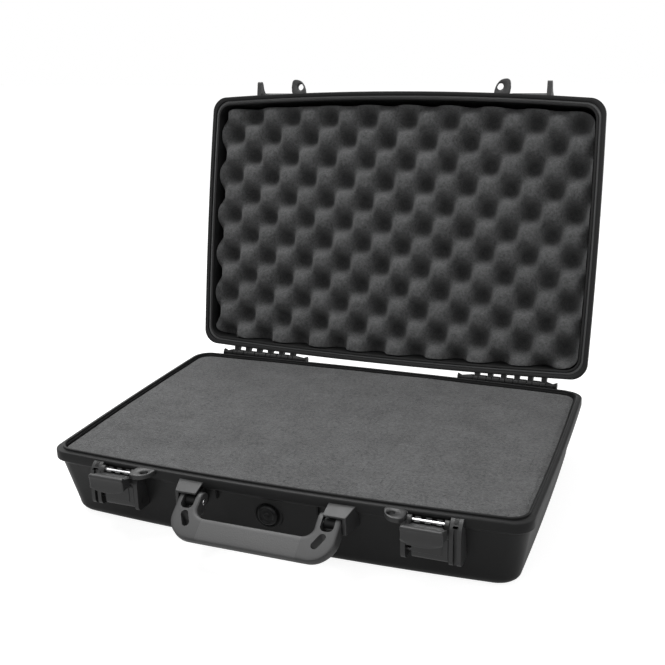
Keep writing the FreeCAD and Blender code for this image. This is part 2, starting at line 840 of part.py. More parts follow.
def lid_gasket():
    high = base_height + groove_depth
    low = high - seal_height
    outer = slab(tongue_inset - groove_side_gap, low, high)
    inner_inset = tongue_inset + tongue_width + groove_side_gap
    return outer.cut(slab(inner_inset, low - face_overrun, high + face_overrun))


def lid_shell():
    body = outer_form(lid_height - lid_rib_height, lid_taper, 0, at_lid)
    added = lid_ribs()
    for piece in [lid_lug(), lid_ear(), catch_lip()] + [hinge_finger(start) for start in finger_starts]:
        added += both(piece)
    body = body.fuse(added)
    body = body.cut([inner_form(lid_height - lid_rib_height, lid_taper, lid_rim, at_lid), lid_groove()])
    return body.cut(both(finger_bore()))


def opened(solid):
    """Turns a piece of the lid from closed to open about the hinge line."""
    solid = solid.copy()
    solid.rotate(V(0, hinge_y, hinge_z), V(1, 0, 0), -open_angle)
    return solid


# Foams
def base_foam(low, high):
    """Foam that fills the base between two heights, a small gap inside the walls."""
    wall_inset = flange_reach + base_taper + wall + foam_gap
    rim_inset = base_rim + foam_gap
    stations = [(0, rim_inset), (flange_height + flange_slope, rim_inset)]
    stations += rounded_floor(base_height - wall - foam_gap, wall_inset, inner_edge_radius)
    filled = tub(stations, at_base, inner_corner_radius)
    return filled.common(slab(0, low, high))


def lid_foam():
    """Convoluted foam: a flat back, and staggered square pits that leave points between them."""
    top = base_height + lid_height - lid_rib_height - wall - foam_gap
    low = base_height + egg_recess
    inset = lid_rim + lid_foam_gap
    back_inset = flange_reach + lid_taper + wall + inner_edge_radius + foam_gap
    slope_start = top - inner_edge_radius
    radius = inner_corner_radius
    body = Part.makeLoft([outline(inset + lid_foam_gap, low, radius),
                          outline(back_inset - inner_edge_radius + foam_gap, slope_start, radius),
                          outline(back_inset, top, radius)], True, True)
    half = egg_period / 2
    pits = []
    for row in range(-egg_rows, egg_rows + 1):
        shift = half if row % 2 else 0
        for column in range(-egg_columns // 2, egg_columns // 2 + 2):
            x = egg_shift_x + column * egg_period + shift
            y = egg_shift_y + row * half
            pits.append(egg_pit(x, y, low))
    return body.cut(pits)


def egg_pit(x, y, low):
    half = egg_period / 2
    reach = half * (egg_depth + face_overrun) / egg_depth
    base = [V(x - reach, y - reach, low - face_overrun), V(x + reach, y - reach, low - face_overrun),
            V(x + reach, y + reach, low - face_overrun), V(x - reach, y + reach, low - face_overrun)]
    tip = V(x, y, low + egg_depth)
    faces = [Part.Face(Part.makePolygon(base + base[:1]))]
    for first, second in zip(base, base[1:] + base[:1]):
        faces.append(Part.Face(Part.makePolygon([first, second, tip, first])))
    return Part.Solid(Part.Shell(faces))


def build():
    nodes = {"base_shell": base_shell()}
    floor = wall + foam_gap
    nodes["base_foam_pad"] = base_foam(floor, floor + pad_thickness)
    nodes["base_foam_cubed"] = base_foam(floor + pad_thickness, base_height - cubed_drop)
    nodes.update(vent_parts())
    nodes["lid_shell"] = opened(lid_shell())
    nodes["lid_gasket"] = opened(lid_gasket())
    nodes["lid_foam"] = opened(lid_foam())
    nodes["handle_frame"] = handle_frame()
    nodes["handle_grip"] = handle_grip()
    pairs = {"hinge_pin": hinge_pin(), "handle_pin": handle_pin(), "latch_frame": latch_frame(),
             "latch_lever": latch_lever(), "lever_pin": lever_pin(), "frame_pin": frame_pin()}
    for name, solid in pairs.items():
        nodes[name + "_right"] = solid
        nodes[name + "_left"] = mirrored(solid)
    moved = nodes["latch_frame_right"].copy()
    moved.translate(V(-2 * latch_place, 0, 0))
    nodes["latch_frame_left"] = moved
    return nodes


os.makedirs("parts", exist_ok=True)
for name, shape in build().items():
    solids = shape.Solids
    print(name, "solids", len(solids), "valid", shape.isValid(), "volume", round(shape.Volume))
    (solids[0] if len(solids) == 1 else shape).exportStep("parts/" + name + ".step")
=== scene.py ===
import math
import bmesh
import bpy
import numpy as np
from mathutils import Matrix, Vector


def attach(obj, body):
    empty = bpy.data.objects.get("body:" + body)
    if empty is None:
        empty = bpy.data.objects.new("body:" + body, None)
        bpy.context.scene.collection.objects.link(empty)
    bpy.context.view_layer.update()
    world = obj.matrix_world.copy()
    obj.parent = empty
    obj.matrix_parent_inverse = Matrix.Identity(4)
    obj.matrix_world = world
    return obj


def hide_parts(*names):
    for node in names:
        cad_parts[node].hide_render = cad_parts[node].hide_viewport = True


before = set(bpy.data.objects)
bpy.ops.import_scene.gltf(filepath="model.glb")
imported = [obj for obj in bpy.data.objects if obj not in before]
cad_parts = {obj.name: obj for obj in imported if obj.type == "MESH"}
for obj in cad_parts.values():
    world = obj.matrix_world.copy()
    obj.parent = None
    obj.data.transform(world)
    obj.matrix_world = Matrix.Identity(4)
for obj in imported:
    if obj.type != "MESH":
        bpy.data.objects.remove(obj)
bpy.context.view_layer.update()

# lengths are in millimetres and turn into metres when a mesh is made

caseSizes = {
    "width": 506.0, "depth": 337.7, "baseHeight": 76.0, "lidHeight": 49.0,
    "frontBow": 8.75, "backBow": 5.1, "sideBow": 2.1, "cornerRadius": 21.0,
    "wallCorner": 19.0, "innerCorner": 15.0, "cornerFollow": 0.5, "openAngle": 102.5,
    "wall": 4.0, "flangeHeight": 10.0, "flangeSlope": 3.0, "flangeReach": 4.0,
    "baseRim": 8.0, "lidRim": 10.4, "baseTaper": 9.2, "lidTaper": 4.5,
    "floorRounding": 13.0, "innerRounding": 6.0,
    "hingeOut": 5.28, "hingeDown": 0.72,
}

hingeY = caseSizes["depth"] / 2 + caseSizes["hingeOut"]
hingeZ = caseSizes["baseHeight"] - caseSizes["hingeDown"]


# shared maths

sides = (("Right", 1), ("Left", -1))


def frontAt(x):
    return -caseSizes["depth"] / 2 + caseSizes["frontBow"] * (x / (caseSizes["width"] / 2)) ** 2


def backAt(x):
    return caseSizes["depth"] / 2 - caseSizes["backBow"] * (x / (caseSizes["width"] / 2)) ** 2


def circlesMeet(c1, r1, c2, r2, near):
    # where two circles cross, taking the crossing nearest to a point
    span = c2 - c1
    length = np.hypot(*span)
    along = (r1 ** 2 - r2 ** 2 + length ** 2) / (2 * length)
    across = math.sqrt(r1 ** 2 - along ** 2)
    unit = span / length
    side = np.array([-unit[1], unit[0]])
    found = [c1 + unit * along + side * across * sign for sign in (1, -1)]
    return min(found, key=lambda p: np.hypot(*(p - near)))


def arcPoints(centre, start, end, count):
    # points on a circle from one point to another, the short way, without the last one
    a0 = math.atan2(start[1] - centre[1], start[0] - centre[0])
    a1 = math.atan2(end[1] - centre[1], end[0] - centre[0])
    turn = (a1 - a0 + math.pi) % (2 * math.pi) - math.pi
    a = a0 + turn * np.arange(count) / count
    r = np.hypot(*(start - centre))
    return np.stack([centre[0] + r * np.cos(a), centre[1] + r * np.sin(a)], axis=1)


def caseOutline(inset, radius=None, fine=1.0):
    # plan of the case drawn in by an inset: four bowed sides, each an arc of a wide circle,
    # joined by corner arcs that touch both neighbours
    s = caseSizes
    if radius is None:
        radius = s["cornerRadius"] - inset * s["cornerFollow"]
    halfX, halfY = s["width"] / 2 - inset, s["depth"] / 2 - inset
    middle = (s["frontBow"] - s["backBow"]) / 2
    reachX, reachY = halfX - s["sideBow"], halfY - (s["frontBow"] + s["backBow"]) / 2
    wide = lambda reach, bow: (reach ** 2 + bow ** 2) / (2 * bow)
    fr, br, sr = wide(reachX, s["frontBow"]), wide(reachX, s["backBow"]), wide(reachY, s["sideBow"])
    ring = [(np.array([0, fr - halfY]), fr), (np.array([halfX - sr, middle]), sr),
            (np.array([0, halfY - br]), br), (np.array([sr - halfX, middle]), sr)]
    near = [np.array([halfX, -halfY]), np.array([halfX, halfY]), np.array([-halfX, halfY]),
            np.array([-halfX, -halfY])]
    corners = []
    for i in range(4):
        (c1, r1), (c2, r2) = ring[i], ring[(i + 1) % 4]
        c = circlesMeet(c1, r1 - radius, c2, r2 - radius, near[i])
        start = c + (c - c1) / np.hypot(*(c - c1)) * radius
        end = c + (c - c2) / np.hypot(*(c - c2)) * radius
        corners.append((c, start, end))
    parts = []
    for i in range(4):
        c, start, end = corners[i]
        parts.append(arcPoints(c, start, end, int(14 * fine)))
        counts = int((56 if i % 2 else 34) * fine)
        parts.append(arcPoints(ring[(i + 1) % 4][0], end, corners[(i + 1) % 4][1], counts))
    return np.concatenate(parts)


def ringAt(inset, z, radius=None, fine=1.0):
    o = caseOutline(inset, radius, fine)
    return np.column_stack([o, np.full(len(o), float(z))])


def roundCorners(points, cut=0.5, steps=6, most=1e9):
    # each corner becomes a parabola between two points on its edges, a share of the edge
    # or at most a length away from the corner
    p = np.asarray(points, float)
    before, after = np.roll(p, 1, axis=0) - p, np.roll(p, -1, axis=0) - p
    l1, l2 = np.linalg.norm(before, axis=1), np.linalg.norm(after, axis=1)
    a = p + before / l1[:, None] * np.minimum(l1 * cut, most)[:, None]
    b = p + after / l2[:, None] * np.minimum(l2 * cut, most)[:, None]
    t = np.linspace(0, 1, steps)[None, :, None]
    curve = (1 - t) ** 2 * a[:, None] + 2 * t * (1 - t) * p[:, None] + t ** 2 * b[:, None]
    curve = curve.reshape(-1, p.shape[1])
    gap = np.linalg.norm(curve - np.roll(curve, 1, axis=0), axis=1)
    return curve[gap > 1e-4]


def turnX(points, degrees, y, z):
    # turns points about a line along X
    a = math.radians(degrees)
    p = np.array(points, float)
    dy, dz = p[..., 1] - y, p[..., 2] - z
    p[..., 1] = y + dy * math.cos(a) - dz * math.sin(a)
    p[..., 2] = z + dy * math.sin(a) + dz * math.cos(a)
    return p


def asClosed(p):
    # pieces of the base and the front stay where they are drawn
    return p


def openLid(p):
    # the lid is drawn closed and turned back about the hinges
    return turnX(p, -caseSizes["openAngle"], hingeY, hingeZ)


# meshes

def makePiece(name, shapes, material, body, nodes=(), place=asClosed, bevel=0.0, sharp=35.0,
              cutters=(), mirror=False):
    # one object from closed shapes (vertices, faces); mirror adds their left-hand twins
    allVerts, allFaces, base = [], [], 0
    for verts, faces in shapes:
        for sign in ((1, -1) if mirror else (1,)):
            v = np.array(verts, float)
            v[:, 0] *= sign
            allVerts.append(place(v))
            allFaces += [[i + base for i in f] for f in faces]
            base += len(v)
    mesh = bpy.data.meshes.new(name)
    mesh.from_pydata((np.concatenate(allVerts) / 1000).tolist(), [], allFaces)
    outward(mesh)
    obj = bpy.data.objects.new(name, mesh)
    bpy.context.scene.collection.objects.link(obj)
    if cutters:
        cutAway(obj, cutters, place)
    mesh = obj.data
    mesh.shade_smooth()
    mesh.set_sharp_from_angle(angle=math.radians(sharp))
    if bevel:
        m = obj.modifiers.new("edges", "BEVEL")
        m.width, m.segments, m.limit_method = bevel / 1000, 3, "ANGLE"
        m.angle_limit, m.miter_outer = math.radians(40), "MITER_ARC"
        w = obj.modifiers.new("shading", "WEIGHTED_NORMAL")
        w.weight, w.keep_sharp = 80, False
        mesh.set_sharp_from_angle(angle=math.radians(180))
    mesh.materials.clear()
    mesh.materials.append(material)
    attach(obj, body)
    if nodes:
        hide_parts(*nodes)
    return obj


def outward(mesh):
    bm = bmesh.new()
    bm.from_mesh(mesh)
    bmesh.ops.recalc_face_normals(bm, faces=bm.faces)
    bm.to_mesh(mesh)
    bm.free()


def cutAway(obj, cutters, place):
    # takes closed shapes out of a piece
    made = []
    for verts, faces in cutters:
        mesh = bpy.data.meshes.new("cutter")
        mesh.from_pydata((place(np.array(verts, float)) / 1000).tolist(), [], [list(f) for f in faces])
        outward(mesh)
        cutter = bpy.data.objects.new("cutter", mesh)
        bpy.context.scene.collection.objects.link(cutter)
        m = obj.modifiers.new("cut", "BOOLEAN")
        m.operation, m.solver, m.object = "DIFFERENCE", "EXACT", cutter
        made.append(cutter)
    bpy.context.view_layer.update()
    ready = obj.evaluated_get(bpy.context.evaluated_depsgraph_get())
    obj.data = bpy.data.meshes.new_from_object(ready)
    obj.modifiers.clear()
    for cutter in made:
        bpy.data.meshes.remove(cutter.data)


def loft(rings):
    # closed solid through rings of equal length: quads between rings and a flat face at each end
    rings = np.asarray(rings, float)
    m, n = rings.shape[:2]
    i, j = np.meshgrid(np.arange(m - 1), np.arange(n), indexing="ij")
    k = (j + 1) % n
    quads = np.stack([i * n + j, i * n + k, (i + 1) * n + k, (i + 1) * n + j], axis=-1).reshape(-1, 4)
    faces = quads.tolist() + [list(range(n - 1, -1, -1)), list(range((m - 1) * n, m * n))]
    return rings.reshape(-1, 3), faces


def closedRing(rings):
    # closed solid whose last ring joins its first: quads between neighbours both ways round
    rings = np.asarray(rings, float)
    m, n = rings.shape[:2]
    i, j = np.meshgrid(np.arange(m), np.arange(n), indexing="ij")
    k, l = (j + 1) % n, (i + 1) % m
    quads = np.stack([i * n + j, i * n + k, l * n + k, l * n + j], axis=-1).reshape(-1, 4)
    return rings.reshape(-1, 3), quads.tolist()


def onAxis(outline, level, axis):
    # an outline drawn across an axis, put at one level of it
    o = np.asarray(outline, float)
    at = np.full(len(o), float(level))
    if axis == "x":
        return np.stack([at, o[:, 0], o[:, 1]], axis=1)
    if axis == "y":
        return np.stack([o[:, 0], at, o[:, 1]], axis=1)
    return np.stack([o[:, 0], o[:, 1], at], axis=1)


def bar(outline, start, end, axis="x"):
    # an outline carried straight along an axis; for x it is (y, z), for y (x, z), for z (x, y)
    return loft([onAxis(outline, start, axis), onAxis(outline, end, axis)])


def onSide(shape, sign):
    # a shape drawn for the right, or its left-hand twin when sign is -1
    return shape[0] * np.array([sign, 1, 1]), shape[1]


def box(low, high):
    return bar([(low[0], low[1]), (high[0], low[1]), (high[0], high[1]), (low[0], high[1])],
               low[2], high[2], "z")


def turned(profile, centre, axis="x", count=48, hole=False):
    # a profile of (distance along the axis, radius) turned round an axis through a centre
    a = np.arange(count) / count * 2 * math.pi
    rings = []
    for along, r in profile:
        o = np.stack([np.cos(a) * r, np.sin(a) * r], axis=1)
        rings.append(onAxis(o, along, axis) + np.array(centre))
    return closedRing(rings) if hole else loft(rings)


# materials

def newMaterial(name):
    mat = bpy.data.materials.new(name)
    mat.use_nodes = True
    nodes, links = mat.node_tree.nodes, mat.node_tree.links
    shader = nodes["Principled BSDF"]
    coords = nodes.new("ShaderNodeTexCoord").outputs["Object"]
    return mat, nodes, links, shader, coords


def addNoise(nodes, links, coords, scale, detail=3.0, rough=0.5):
    n = nodes.new("ShaderNodeTexNoise")
    n.inputs["Scale"].default_value, n.inputs["Detail"].default_value = scale, detail
    n.inputs["Roughness"].default_value = rough
    links.new(coords, n.inputs["Vector"])
    return n.outputs["Fac"]


def addRange(nodes, links, value, a, b, c, d, smooth=False):
    m = nodes.new("ShaderNodeMapRange")
    m.interpolation_type = "SMOOTHSTEP" if smooth else "LINEAR"
    for key, v in zip(("From Min", "From Max", "To Min", "To Max"), (a, b, c, d)):
        m.inputs[key].default_value = v
    links.new(value, m.inputs["Value"])
    return m.outputs["Result"]


def addMix(nodes, links, factor, first, second):
    m = nodes.new("ShaderNodeMix")
    m.data_type = "RGBA"
    for key, v in ((6, first), (7, second)):
        if isinstance(v, (tuple, list)):
            m.inputs[key].default_value = (*v, 1)
        else:
            links.new(v, m.inputs[key])
    links.new(factor, m.inputs[0])
    return m.outputs[2]


def addMath(nodes, links, kind, a, b=None):
    m = nodes.new("ShaderNodeMath")
    m.operation = kind
    for key, v in ((0, a), (1, b)):
        if v is None:
            continue
        if isinstance(v, (int, float)):
            m.inputs[key].default_value = v
        else:
            links.new(v, m.inputs[key])
    return m.outputs[0]


def addBump(nodes, links, shader, height, distance, strength, previous=None):
    b = nodes.new("ShaderNodeBump")
    b.inputs["Distance"].default_value, b.inputs["Strength"].default_value = distance, strength
    links.new(height, b.inputs["Height"])
    if previous is not None:
        links.new(previous, b.inputs["Normal"])
    links.new(b.outputs["Normal"], shader.inputs["Normal"])
    return b.outputs["Normal"]


def mouldedPlastic(name, colour, rough, grain=0.00012, scuff=0.12, shine=0.14):
    # injection-moulded plastic: a fine spark-eroded grain, slow waves of flow, and rubbed patches
    mat, nodes, links, shader, coords = newMaterial(name)
    flow = addNoise(nodes, links, coords, 14, 3)
    fine = addNoise(nodes, links, coords, 1500, 2, 0.6)
    rubbed = addRange(nodes, links, addNoise(nodes, links, coords, 55, 6, 0.65), 0.52, 0.7, 0, 1, True)
    light = tuple(c * 1.5 + 0.004 for c in colour)
    base = addMix(nodes, links, addRange(nodes, links, flow, 0.3, 0.7, 0, 1), colour,
                  tuple(c * 1.22 for c in colour))
    tint = addMath(nodes, links, "MULTIPLY", rubbed, scuff)
    links.new(addMix(nodes, links, tint, base, light), shader.inputs["Base Color"])
    gloss = addMath(nodes, links, "ADD", addRange(nodes, links, flow, 0.25, 0.75, rough - 0.03, rough + 0.04),
                    addMath(nodes, links, "MULTIPLY", rubbed, -0.05))
    links.new(gloss, shader.inputs["Roughness"])
    waves = addBump(nodes, links, shader, addNoise(nodes, links, coords, 30, 2), 0.0006, 0.15)
    addBump(nodes, links, shader, fine, grain, 0.35, waves)
    shader.inputs["Specular IOR Level"].default_value = shine
    return mat


def foam(name, colour, cell, bumpDepth, cubes=0.0, soft=0.25, paintedPitShade=0.0):
    # open-cell foam: small dark cells, larger blotches, a lattice of cuts where cubes is a pitch, and painted
    # shade in the pits where a weight for it is given
    mat, nodes, links, shader, coords = newMaterial(name)
    cells = nodes.new("ShaderNodeTexVoronoi")
    cells.inputs["Scale"].default_value = 1000 / cell
    links.new(coords, cells.inputs["Vector"])
    pores = addRange(nodes, links, cells.outputs["Distance"], 0.1, 0.62, 0, 1)
    blotch = addNoise(nodes, links, coords, 32, 5, 0.6)
    speck = addNoise(nodes, links, coords, 330, 4, 0.75)
    tone = addMath(nodes, links, "ADD", addMath(nodes, links, "MULTIPLY", speck, 0.7),
                   addMath(nodes, links, "MULTIPLY", blotch, 0.3))
    base = addMix(nodes, links, addRange(nodes, links, tone, 0.36, 0.64, 0, 1),
                  tuple(c * (1 - soft) for c in colour), tuple(c * (1 + soft) for c in colour))
    base = addMix(nodes, links, addMath(nodes, links, "MULTIPLY", pores, 0.35), base,
                  tuple(c * 1.35 for c in colour))
    height = addMath(nodes, links, "ADD", pores, speck)
    if paintedPitShade:
        # painted shade: darker towards the bottom of the pits, where the piece's own attribute is 1
        deep = nodes.new("ShaderNodeAttribute")
        deep.attribute_name = "pitDepth"
        curved = addMath(nodes, links, "POWER", deep.outputs["Fac"], 1.6)
        shade = addMath(nodes, links, "MULTIPLY", curved, paintedPitShade)
        base = addMix(nodes, links, shade, base, tuple(c * 0.3 for c in colour))
    if cubes:
        split = nodes.new("ShaderNodeSeparateXYZ")
        wobble = nodes.new("ShaderNodeTexNoise")
        wobble.inputs["Scale"].default_value = 40
        links.new(coords, wobble.inputs["Vector"])
        shift = nodes.new("ShaderNodeVectorMath")
        shift.operation = "MULTIPLY_ADD"
        links.new(wobble.outputs["Color"], shift.inputs[0])
        shift.inputs[1].default_value = (0.0014, 0.0014, 0)
        links.new(coords, shift.inputs[2])
        links.new(shift.outputs[0], split.inputs[0])
        lines = None
        for axis in ("X", "Y"):
            cycle = addMath(nodes, links, "PINGPONG", split.outputs[axis], cubes / 2)
            line = addRange(nodes, links, cycle, 0.0, 0.0009, 1, 0, True)
            lines = line if lines is None else addMath(nodes, links, "MAXIMUM", lines, line)
        torn = addRange(nodes, links, addNoise(nodes, links, coords, 190, 3, 0.75), 0.5, 0.64, 0, 1, True)
        cut = addMath(nodes, links, "MULTIPLY", lines, torn)
        base = addMix(nodes, links, addMath(nodes, links, "MULTIPLY", cut, 0.45), base,
                      tuple(c * 0.35 for c in colour))
        height = addMath(nodes, links, "SUBTRACT", height, addMath(nodes, links, "MULTIPLY", cut, 1.2))
    links.new(base, shader.inputs["Base Color"])
    addBump(nodes, links, shader, height, bumpDepth, 0.75)
    shader.inputs["Roughness"].default_value = 0.95
    shader.inputs["Specular IOR Level"].default_value = 0.12
    shader.inputs["Sheen Weight"].default_value = 0.15
    return mat


def steel(name, colour, rough):
    # drawn bar: fine lines along it and a few dull spots
    mat, nodes, links, shader, coords = newMaterial(name)
    stretch = nodes.new("ShaderNodeMapping")
    stretch.inputs["Scale"].default_value = (60, 2600, 2600)
    links.new(coords, stretch.inputs["Vector"])
    lines = addNoise(nodes, links, stretch.outputs[0], 1, 2)
    dull = addNoise(nodes, links, coords, 300, 3)
    links.new(addMix(nodes, links, addRange(nodes, links, dull, 0.4, 0.7, 0, 1), colour,
                     tuple(c * 0.72 for c in colour)), shader.inputs["Base Color"])
    links.new(addRange(nodes, links, lines, 0.3, 0.7, rough - 0.06, rough + 0.1), shader.inputs["Roughness"])
    addBump(nodes, links, shader, lines, 0.00003, 0.4)
    shader.inputs["Metallic"].default_value = 1.0
    return mat


def rubber(name, colour, rough, grain=0.0002):
    # soft moulded rubber: leather-like pebbles that are nearly too small to see
    mat, nodes, links, shader, coords = newMaterial(name)
    pebbles = nodes.new("ShaderNodeTexVoronoi")
    pebbles.feature = "SMOOTH_F1"
    pebbles.inputs["Scale"].default_value = 900
    links.new(coords, pebbles.inputs["Vector"])
    tone = addNoise(nodes, links, coords, 26, 4)
    links.new(addMix(nodes, links, addRange(nodes, links, tone, 0.3, 0.7, 0, 1), colour,
                     tuple(c * 1.2 for c in colour)), shader.inputs["Base Color"])
    links.new(addRange(nodes, links, tone, 0.3, 0.7, rough - 0.04, rough + 0.05), shader.inputs["Roughness"])
    addBump(nodes, links, shader, pebbles.outputs["Distance"], grain, 0.4)
    shader.inputs["Specular IOR Level"].default_value = 0.45
    return mat


finishes = {
    "shell": mouldedPlastic("shellPlastic", (0.014, 0.0141, 0.0143), 0.42, shine=0.16),
    # a lighter, shinier copy of the shell plastic: painted light on the lugs, ears and hoods, which face up
    # to the lamps
    "bosses": mouldedPlastic("bossPlasticPaintedLight", (0.028, 0.0282, 0.0286), 0.40, shine=0.40),
    "latch": mouldedPlastic("latchPlastic", (0.028, 0.0282, 0.0285), 0.40, grain=0.00006, shine=0.42),
    "handle": mouldedPlastic("handlePlastic", (0.040, 0.0402, 0.0406), 0.46, grain=0.00008, shine=0.45),
    "grip": rubber("gripRubber", (0.058, 0.0582, 0.0586), 0.46),
    "seal": rubber("sealRubber", (0.10, 0.101, 0.102), 0.5),
    "vent": mouldedPlastic("ventPlastic", (0.012, 0.0122, 0.0126), 0.30, grain=0.00004),
    "membrane": foam("ventMembrane", (0.5, 0.5, 0.5), 0.5, 0.00005),
    "steel": steel("pinSteel", (0.86, 0.86, 0.87), 0.24),
    "blackSteel": steel("blackedSteel", (0.06, 0.06, 0.062), 0.4),
    "cubed": foam("cubedFoam", (0.110, 0.111, 0.112), 1.3, 0.0007, cubes=0.0127, soft=0.55),
    "pad": foam("padFoam", (0.110, 0.111, 0.112), 1.3, 0.0006),
    # the lid foam carries painted shade that darkens its pits
    "egg": foam("convolutedFoam", (0.105, 0.106, 0.107), 1.2, 0.0006, soft=0.6, paintedPitShade=0.6),
}
print("materials made")


# shells

def bend(distance, inset, radius, steps, outside):
    # quarter round between a wall and a floor at a distance from the rim
    t = np.linspace(0, math.pi / 2, steps)
    return [(distance - radius * (1 - math.sin(a)), inset + radius * (1 - math.cos(a)), outside) for a in t]


def shellStations(depth, taper, rim, lip):
    # the shell's section from the middle of the outside to the middle of the inside:
    # (distance from the rim plane, inset, corner radius)
    s = caseSizes
    w, n = s["wallCorner"], s["innerCorner"]
    outerInset = s["flangeReach"] + taper
    top = s["flangeHeight"]
    path = bend(depth, outerInset, s["floorRounding"], 9, w)[::-1]
    path += [(top + s["flangeSlope"] + 1.2, s["flangeReach"] + 0.25, w),
             (top + s["flangeSlope"], s["flangeReach"] - 0.3, w),
             (top + 0.8, 0.9, w), (top + 0.1, 0.22, w), (top - 0.9, 0.0, w), (1.5, 0.0, w), (0.75, 0.22, w),
             (0.33, 0.7, w), (0.3, 1.3, None)]
    path += lip
    path += [(0.3, rim - 0.7, None), (0.5, rim - 0.15, n), (1.3, rim, n),
             (top + s["flangeSlope"], max(rim, s["flangeReach"] + s["wall"]), n)]
    path += bend(depth - s["wall"], outerInset + s["wall"], s["innerRounding"], 7, n)
    return path


def shellSolid(stations, toHeight):
    # the section carried round the outline, closed by flat faces over the floor's middle
    rings = [ringAt(inset, toHeight(distance), own) for distance, inset, own in stations]
    first, last = rings[0], rings[-1]
    shrink = lambda ring, k: np.column_stack([ring[:, :2] * k, ring[:, 2]])
    rings = [shrink(first, 0.05), shrink(first, 0.6)] + rings + [shrink(last, 0.6), shrink(last, 0.05)]
    return loft(rings)


tongue = {"inset": 5.1, "width": 2.2, "height": 2.2, "round": 0.5}
groove = {"outer": 4.5, "inner": 7.9, "depth": 2.8}


def baseShell():
    s = caseSizes
    t = tongue
    lip = [(0.3, t["inset"] - 0.3, None), (0.1, t["inset"], None),
           (-t["height"] + t["round"], t["inset"] + 0.05, None),
           (-t["height"], t["inset"] + t["round"], None),
           (-t["height"], t["inset"] + t["width"] - t["round"], None),
           (-t["height"] + t["round"], t["inset"] + t["width"] - 0.05, None),
           (0.1, t["inset"] + t["width"], None)]
    stations = shellStations(s["baseHeight"], s["baseTaper"], s["baseRim"], lip)
    solid = shellSolid(stations, lambda d: s["baseHeight"] - d)
    cutters = [recessBox(1), recessBox(-1)]
    v = vent
    cutters.append(turned([(-30, v["bore"]), (30, v["bore"])], (0, v["floor"], v["z"]), "y"))
    for i in range(4):
        x = (i - 1.5) * 97.0
        o = roundCorners([(x - 42, -110), (x + 42, -110), (x + 42, 110), (x - 42, 110)], most=14, steps=8)
        cutters.append(bar(o, -3, 1.4, "z"))
    makePiece("baseShell", [solid], finishes["shell"], "base", ["base_shell"],
              cutters=cutters)


latch = {
    "place": 161.2, "width": 38.8, "gap": 0.5, "pinOut": 3.34, "pinDown": 7.0, "frameOut": 3.9,
    "frameDown": 36.5, "barrel": 6.4, "arm": 4.0, "plateHeight": 19.0, "plate": 4.6,
    "innerEar": 4.4, "outerEar": 11.3, "recess": 4.4, "recessTop": 3.4, "notch": 5.4,
}
latchRim = frontAt(latch["place"])
pinY, pinZ = latchRim - latch["pinOut"], caseSizes["baseHeight"] - latch["pinDown"]
frameY, frameZ = latchRim - latch["frameOut"], caseSizes["baseHeight"] - latch["frameDown"]
latchLeft, latchRight = latch["place"] - latch["width"] / 2, latch["place"] + latch["width"] / 2
innerEarFace, outerEarFace = latchLeft - latch["gap"], latchRight + latch["gap"]


def frontWall(x, z):
    # the outside of the front wall, which leans in from the flange down to the floor's rounding
    s = caseSizes
    top = s["baseHeight"] - s["flangeHeight"] - s["flangeSlope"]
    return frontAt(x) + s["flangeReach"] + s["baseTaper"] * (top - z) / (top - s["floorRounding"])


vent = {"z": caseSizes["baseHeight"] - 31.0, "boss": 15.0, "bossOut": 1.2, "ring": 12.6,
        "ringDeep": 2.0, "bore": 12.6, "cap": 10.4, "capThick": 4.6, "flange": 9.4, "flangeThick": 1.2}
vent["face"] = frontWall(0, vent["z"]) - vent["bossOut"]
vent["floor"] = vent["face"] + vent["ringDeep"]


def recessBox(side):
    low = (innerEarFace, latchRim - 4, caseSizes["baseHeight"] - 16)
    high = (outerEarFace, latchRim + latch["recess"], caseSizes["baseHeight"] - latch["recessTop"])
    return onSide(box(low, high), side)


def lidShell():
    s = caseSizes
    g = groove
    lip = [(0.3, g["outer"] - 0.6, None), (0.7, g["outer"], None), (g["depth"], g["outer"] + 0.1, None),
           (g["depth"], g["inner"] - 0.1, None), (0.7, g["inner"], None), (0.3, g["inner"] + 0.5, None)]
    stations = shellStations(s["lidHeight"] - 1.95, s["lidTaper"], s["lidRim"], lip)
    solid = shellSolid(stations, lambda d: s["baseHeight"] + d)
    makePiece("lidShell", [solid], finishes["shell"], "lid", ["lid_shell"], place=openLid)


def lidRibs():
    top = caseSizes["baseHeight"] + caseSizes["lidHeight"]
    ribs = []
    for i in range(5):
        y = (i - 2) * 44.0
        o = roundCorners([(-165, y - 4.5), (165, y - 4.5), (165, y + 4.5), (-165, y + 4.5)], most=4.4,
                         steps=8)
        ribs.append(bar(o, top - 3.6, top, "z"))
    makePiece("lidRibs", ribs, finishes["shell"], "lid", place=openLid, bevel=0.8)


def lidSeal():
    # a soft bead that lies in the lid's groove
    s = caseSizes
    middle = (groove["outer"] + groove["inner"]) / 2
    half = (groove["inner"] - groove["outer"]) / 2 - 0.1
    t = np.linspace(0, 2 * math.pi, 16, endpoint=False)
    stations = [(groove["depth"] + 0.6 - 1.0 * max(math.sin(a), -0.4),
                 middle + half * math.cos(a)) for a in t]
    bead = closedRing([ringAt(inset, s["baseHeight"] + out) for out, inset in stations])
    makePiece("lidSeal", [bead], finishes["seal"], "lid", ["lid_gasket"], place=openLid)


baseShell()
lidShell()
lidRibs()
lidSeal()
print("shells made")


# foams

def foamSlab(ringBottom, sideRings, ringTop, topHeight, rows):
    # closed slab: its underside's ring, rings up its side, then rings shrinking to the middle
    # whose heights come from a function of x and y
    shrink = lambda ring, k: np.column_stack([ring[:, :2] * k, ring[:, 2]])
    share = np.linspace(1, 0.004, rows)
    top = ringTop[None, :, :2] * share[:, None, None]
    heights = topHeight(top[..., 0], top[..., 1], share[:, None])
    cover = np.concatenate([top, heights[..., None]], axis=-1)
    return loft([shrink(ringBottom, 0.01), shrink(ringBottom, 0.5)] + list(sideRings) + list(cover))


